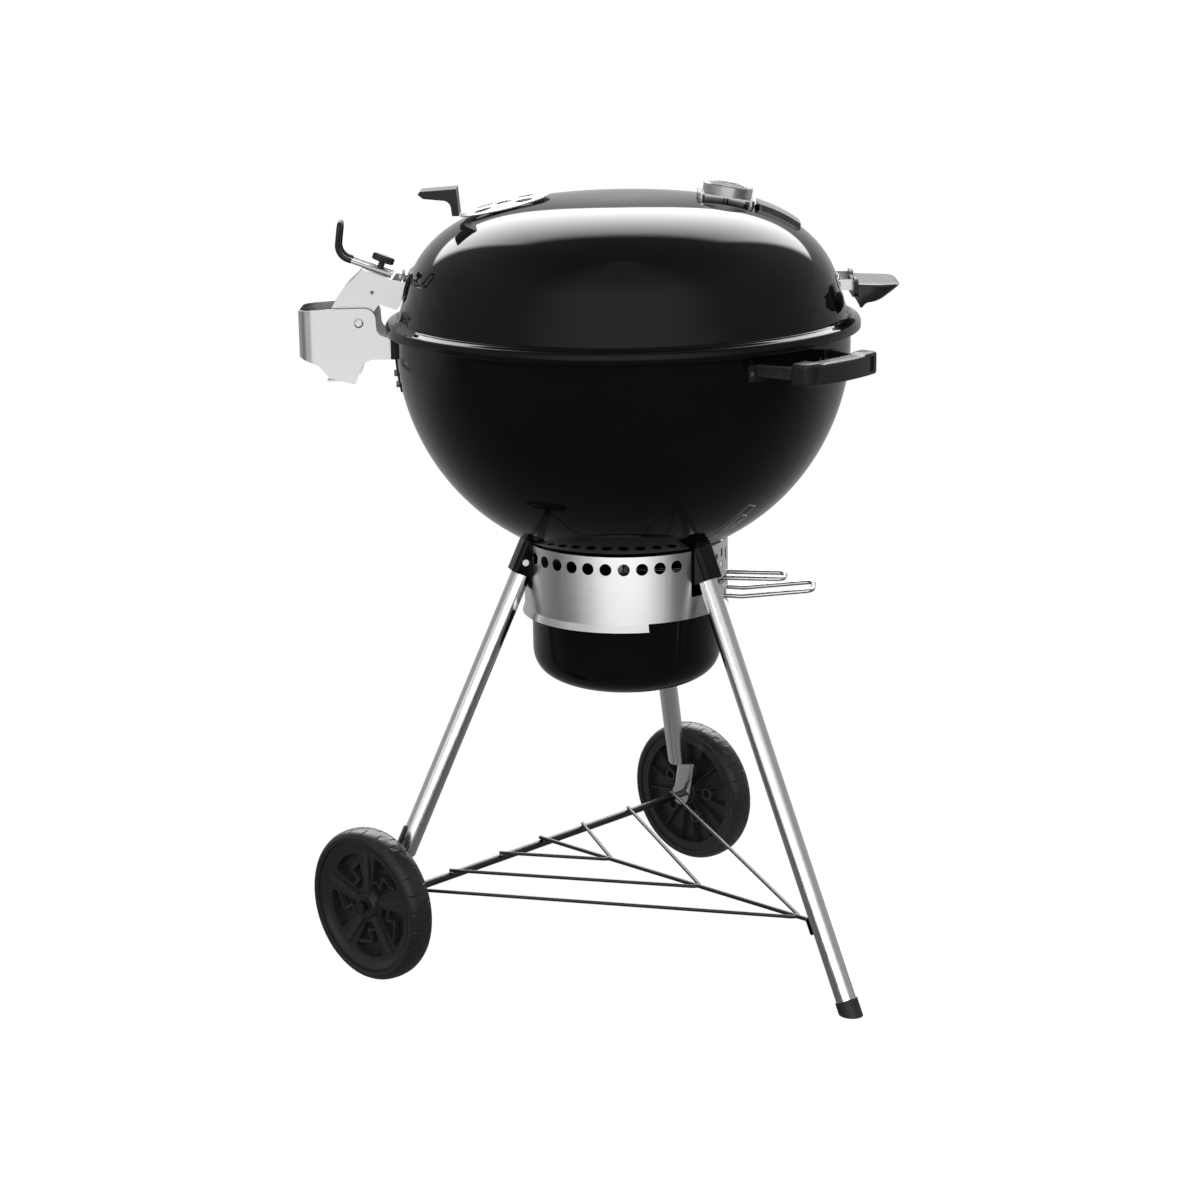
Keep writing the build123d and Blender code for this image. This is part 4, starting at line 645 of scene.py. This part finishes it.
def build_lid_handle():
    """Moulding that thins towards its ends, and the guard behind it with two low horns."""
    sections = []
    for k in range(GRIP_STATIONS + 1):
        y = HANDLE_HALF * sin(pi * (k / GRIP_STATIONS - 0.5))
        share = abs(y) / HANDLE_HALF
        reach = 0.40 + 0.60 * max(1 - share ** 7, 0.0) ** 0.5
        tall = 0.80 + 0.20 * reach
        sections.append([(GRIP_BACK + (x - GRIP_BACK) * reach, y,
                          GRIP_MIDDLE_Z + (z - GRIP_MIDDLE_Z) * tall)
                         for x, z in GRIP_TOP + GRIP_UNDER])
    bm = bmesh.new()
    loft(bm, sections)
    finish_piece("lid_handle_moulding", bm, NYLON, "lid", ("lid_handle_grip",),
                 50)
    sections = []
    for k in range(GUARD_STATIONS + 1):
        y = HANDLE_HALF * (2 * k / GUARD_STATIONS - 1)
        share = abs(y) / HANDLE_HALF
        horn = sin(pi * min(max((share - HORN_FROM) / HORN_SPAN, 0), 1))
        top = GUARD_TOP + GUARD_HORN * max(0.0, horn) ** 0.6
        low = GUARD_LOW + GUARD_LIFT * share ** 6
        sections.append([(GUARD_BACK, y, low), (GUARD_BACK, y, top - GUARD_EDGE_Z),
                         (GUARD_BACK + GUARD_EDGE_X, y, top),
                         (GUARD_FRONT - GUARD_EDGE_X, y, top),
                         (GUARD_FRONT, y, top - GUARD_EDGE_Z), (GUARD_FRONT, y, low)])
    guard = bmesh.new()
    loft(guard, sections)
    finish_piece("lid_handle_finger_guard", guard, NYLON, "lid", (), 50)


build_lid_handle()


# ---- bowl handle -------------------------------------------------------------------------------
BOWL_GRIP_HALF, BOWL_GRIP_ROUND, BOWL_GRIP_CORNER = 0.067, 0.0042, 0.0036
BOWL_GRIP_INNER, BOWL_GRIP_OUTER = (0.3280, 0.0048), (0.3520, 0.0069)    # at the ends, and bow
BOWL_GRIP_GAP = 0.0001
SUNK_FROM, SUNK_TO = 0.001, 0.0022    # past the rounded corners
GROOVE_FROM, GROOVE_TO, GROOVE_DEPTH = 0.0485, 0.058, 0.0030
DIP_HALF, DIP_SLOPE, DIP_DEPTH = 0.045, 0.007, 0.0022
BOWL_GRIP_STATIONS = (67, 66.6, 65.8, 64.6, 63, 61, 58.5, 57.5, 54, 49, 48, 45, 42, 38, 32, 24,
                      16, 8, 0)    # millimetres either way from the middle


def grip_section(inner, outer, low, high, radius, sunk):
    """Rounded section (radius, height) whose outer face is sunk between its corners."""
    points = []
    for x, z, start in ((outer - radius, high - radius, 0),
                        (inner + radius, high - radius, 90),
                        (inner + radius, low + radius, 180),
                        (outer - radius, low + radius, 270)):
        for k in range(6):
            angle = radians(start + 18 * k)
            points.append((x + radius * cos(angle), z + radius * sin(angle)))
    return points + [(outer, low + radius + SUNK_FROM), (outer - sunk, low + radius + SUNK_TO),
                     (outer - sunk, high - radius - SUNK_TO), (outer, high - radius - SUNK_FROM)]


def build_bowl_handle():
    """Bowed grip with rounded ends, a groove near each end and a shallow dip on top."""
    low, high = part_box("bowl_handle_grip")
    foot = sum(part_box("foot_cap"), Vector())
    out = Vector((foot.x, foot.y, 0)).normalized()
    along = Vector((-out.y, out.x, 0))
    sections = []
    for t in sorted({side * t / 1000 for side in (-1, 1) for t in BOWL_GRIP_STATIONS}):
        bow = 1 - (t / BOWL_GRIP_HALF) ** 2
        near_end = max(BOWL_GRIP_ROUND - (BOWL_GRIP_HALF - abs(t)), 0.0)
        inset = BOWL_GRIP_ROUND - sqrt(max(BOWL_GRIP_ROUND ** 2 - near_end ** 2, 0.0))
        sunk = GROOVE_DEPTH if GROOVE_FROM < abs(t) < GROOVE_TO else 0.0
        dip = DIP_DEPTH * min(max((DIP_HALF - abs(t)) / DIP_SLOPE, 0.0), 1.0)
        section = grip_section(BOWL_GRIP_INNER[0] + BOWL_GRIP_INNER[1] * bow + inset,
                               BOWL_GRIP_OUTER[0] + BOWL_GRIP_OUTER[1] * bow - inset,
                               low.z + BOWL_GRIP_GAP + inset,
                               high.z - BOWL_GRIP_GAP - dip - inset, BOWL_GRIP_CORNER, sunk)
        sections.append([out * r + along * t + Vector((0, 0, z)) for r, z in section])
    bm = bmesh.new()
    loft(bm, sections)
    finish_piece("bowl_handle_moulding", bm, NYLON, "kettle",
                 ("bowl_handle_grip",))


build_bowl_handle()


# ---- lid knob ----------------------------------------------------------------------------------
KNOB_STEM = ((0.0001, -0.0059), (0.0048, -0.0059), (0.005, -0.0056), (0.005, -0.0025),
             (0.003, -0.0024), (0.003, 0.0005), (0.0056, 0.0006), (0.006, 0.001),
             (0.0058, 0.0030), (0.0044, 0.0042), (0.0040, 0.006), (0.0040, 0.0118),
             (0.0050, 0.0128), (0.0001, 0.0130))
KNOB_HALF_X, KNOB_HALF_Y, KNOB_SIDES = 0.0054, 0.0134, 24
# height and share of the full outline
KNOB_LEVELS = ((0.0121, 0.80), (0.0126, 0.94), (0.0140, 1.0), (0.0190, 1.0), (0.0204, 0.95),
               (0.0209, 0.82))


def build_knob():
    knob = JOINTS["knob_turn"]
    seat = frame_matrix(knob["pos_m"], knob["axis"], (0, 1, 0))
    bm = bmesh.new()
    turn_profile(bm, KNOB_STEM, seat, 40)
    outline = []
    for k in range(KNOB_SIDES):
        angle = 2 * pi * k / KNOB_SIDES
        squeeze = 1.0 - 0.12 * cos(2 * angle)
        outline.append(Vector((KNOB_HALF_X * cos(angle),
                               KNOB_HALF_Y * sin(angle) * squeeze ** 0.4, 0)))
    loft(bm, [[seat @ Vector((p.x * grow, p.y * grow, h)) for p in outline]
              for h, grow in KNOB_LEVELS])
    finish_piece("knob_moulding", bm, PLASTIC, "lid_knob", ("lid_knob",), 50)


build_knob()


# ---- sleeve over the rear hook -----------------------------------------------------------------
SLEEVE_CORNERS = ((-0.3370, -0.014, 0.9110), (-0.3550, -0.014, 0.9175),
                  (-0.3500, -0.014, 0.9570), (-0.3500, 0.014, 0.9570),
                  (-0.3550, 0.014, 0.9175), (-0.3370, 0.014, 0.9110))
SLEEVE_BENDS, SLEEVE_R = (0.018, 0.0092, 0.0092, 0.018), 0.0034


def rounded_path(corners, radii, steps=8):
    """Points of a path whose inner corners are rounded with arcs of the given radii."""
    corners = [Vector(c) for c in corners]
    points = [corners[0]]
    for before, corner, after, radius in zip(corners, corners[1:], corners[2:], radii):
        back, on = (before - corner).normalized(), (after - corner).normalized()
        half = back.angle(on) / 2
        reach = radius / sin(half) * cos(half)
        middle = corner + (back + on).normalized() * (radius / sin(half))
        first, last = corner + back * reach - middle, corner + on * reach - middle
        for k in range(steps + 1):
            points.append(middle + first.lerp(last, k / steps).normalized() * radius)
    points.append(corners[-1])
    return points


def build_hook_sleeve():
    bm = bmesh.new()
    sweep_tube(bm, rounded_path(SLEEVE_CORNERS, SLEEVE_BENDS), SLEEVE_R, 16)
    finish_piece("hook_sleeve", bm, NYLON, "lid", ("rear_hook_sleeve",), 50)


build_hook_sleeve()


# ---- camera ------------------------------------------------------------------------------------
CAMERA_AT = (0.0, -3.4376, 1.34431)
YAW, PITCH, ROLL = -0.0099, -0.2495, -0.0151
LENS_MM, SENSOR_MM, FAR_CLIP = 82.67, 36.0, 50.0


def build_camera():
    ahead = Vector((sin(YAW) * cos(PITCH), cos(YAW) * cos(PITCH), sin(PITCH)))
    level = Vector((cos(YAW), -sin(YAW), 0))
    above = level.cross(ahead)
    across = level * cos(ROLL) + above * sin(ROLL)
    upward = above * cos(ROLL) - level * sin(ROLL)
    data = bpy.data.cameras.new("camera")
    data.sensor_width = SENSOR_MM
    data.lens = LENS_MM
    data.clip_end = FAR_CLIP
    camera = add_to_scene("camera", data)
    turn = Matrix((across, upward, -ahead)).transposed().to_4x4()
    camera.matrix_world = Matrix.Translation(CAMERA_AT) @ turn
    bpy.context.scene.camera = camera
    bpy.context.scene.view_settings.view_transform = "Standard"


build_camera()


# ---- light -------------------------------------------------------------------------------------
# Each band is where it starts and ends, and the shares of light at either end. Behind the grill,
# heights are rise (height over depth) and sides are width over depth.
PANEL_STRENGTH, WASH_STRENGTH = 7.0, 0.36
PANEL_BOTTOM, WASH_TOP = (0.36, 0.40, 0.0, 1.0), (0.36, 0.40, 1.0, 0.0)
PANEL_FALL, PANEL_TOP = (0.55, 2.30, 1.0, 0.10), (1.35, 1.85, 1.0, 0.0)
PANEL_SIDES, WASH_SIDES = (0.66, 0.84, 1.0, 0.0), (0.3, 1.0, 1.0, 0.2)
BEHIND = (0.0, 0.08, 0.0, 1.0)
ROOM_FACING = (0.45, 1.0, 0.42, 1.1)
ROOM_CEILING, ROOM_FLOOR = (0.65, 1.0, 1.0, 0.45), (-0.15, 0.02, 0.25, 1.0)
LEAST_DEPTH, LEAST_FLAT = 0.02, 0.05
# place, aim, size and power
FRONT_FILL = ((0.0, -4.5, 2.2), (0, 0, 0.5), (3.0, 2.2), 70)
METAL_PANELS = (((-0.1, -2.2, 0.47), (-0.1, 0, 0.52), (2.6, 0.9), 7.5),
                ((-1.9, -1.1, 0.60), (0.0, 0, 0.60), (0.9, 1.0), 1.4),
                ((-0.15, -1.2, 0.21), (-0.15, 0, 0.21), (2.8, 0.38), 2.6))


def build_world():
    """Soft studio: a tall light panel behind the grill and a dimmer room in front of it."""
    world = bpy.data.worlds.new("studio")
    world.use_nodes = True
    bpy.context.scene.world = world
    tree = world.node_tree
    tree.nodes.clear()
    math = partial(math_node, tree)

    def step(value, band):
        return range_node(tree, value, *band, "SMOOTHSTEP")

    coords = tree.nodes.new("ShaderNodeTexCoord")
    x, y, z = split_node(tree, coords.outputs["Generated"])
    depth = math("MAXIMUM", y, LEAST_DEPTH)
    across = math("DIVIDE", math("ABSOLUTE", x), depth)
    rise = math("DIVIDE", z, depth)
    fade = math("MULTIPLY", step(rise, PANEL_FALL), step(rise, PANEL_TOP))
    panel = math("MULTIPLY", math("MULTIPLY", step(rise, PANEL_BOTTOM), fade),
                 step(across, PANEL_SIDES))
    wash = math("MULTIPLY", step(rise, WASH_TOP), step(across, WASH_SIDES))
    back = math("MULTIPLY", step(y, BEHIND),
                math("ADD", math("MULTIPLY", panel, PANEL_STRENGTH),
                     math("MULTIPLY", wash, WASH_STRENGTH)))
    flat = math("SQRT", math("ADD", math("MULTIPLY", x, x), math("MULTIPLY", y, y)))
    facing = math("DIVIDE", math("MULTIPLY", y, -1.0), math("MAXIMUM", flat, LEAST_FLAT))
    room = math("MULTIPLY", step(facing, ROOM_FACING), step(z, ROOM_CEILING))
    light = math("ADD", back, math("MULTIPLY", room, step(z, ROOM_FLOOR)))
    output = tree.nodes.new("ShaderNodeOutputWorld")
    white_to_camera(tree, "ShaderNodeBackground", light, output.inputs["Surface"])


def area_light(name, at, aim, size, power, glossy=False):
    data = bpy.data.lights.new(name, "AREA")
    data.shape = "RECTANGLE"
    data.size, data.size_y = size
    data.energy = power
    lamp = add_to_scene(name, data)
    way = Vector(aim) - Vector(at)
    lamp.matrix_world = (Matrix.Translation(at)
                         @ way.to_track_quat("-Z", "Y").to_matrix().to_4x4())
    lamp.visible_glossy = glossy
    return lamp


def build_metal_panels():
    """Low panels, two in front and one at the left, that only the bare metal pieces catch."""
    receivers = bpy.data.collections.new("bare_metal")
    for node in NODES.values():
        if node.data.materials and node.data.materials[0] in BARE_METALS:
            receivers.objects.link(node)
    for place in METAL_PANELS:
        panel = area_light("metal_panel", *place, glossy=True)
        panel.light_linking.receiver_collection = receivers


build_world()
area_light("front_fill", *FRONT_FILL)
build_metal_panels()


# ---- floor -------------------------------------------------------------------------------------
FLOOR_R, FLOOR_THICK, FLOOR_GAP = 14.0, 0.004, 0.0002
FLOOR_GLOW = (-0.6, 1.6, 0.10, 0.42)    # from and to along y, and the glow at either end


def build_floor():
    bm = bmesh.new()
    turn_profile(bm, ((0.001, -FLOOR_THICK), (0.001, 0.0), (FLOOR_R, 0.0),
                      (FLOOR_R, -FLOOR_THICK)), Matrix.Translation((0, 0, -FLOOR_GAP)), 64)
    floor = mesh_object("floor", bm)
    nodes = Nodes("pale floor")
    nodes.tree.nodes.remove(nodes.shader)
    y = split_node(nodes.tree, nodes.place)[1]
    glow = range_node(nodes.tree, y, *FLOOR_GLOW, "SMOOTHSTEP")
    white_to_camera(nodes.tree, "ShaderNodeEmission", glow,
                    nodes.tree.nodes["Material Output"].inputs["Surface"])
    floor.data.materials.append(nodes.material)


build_floor()
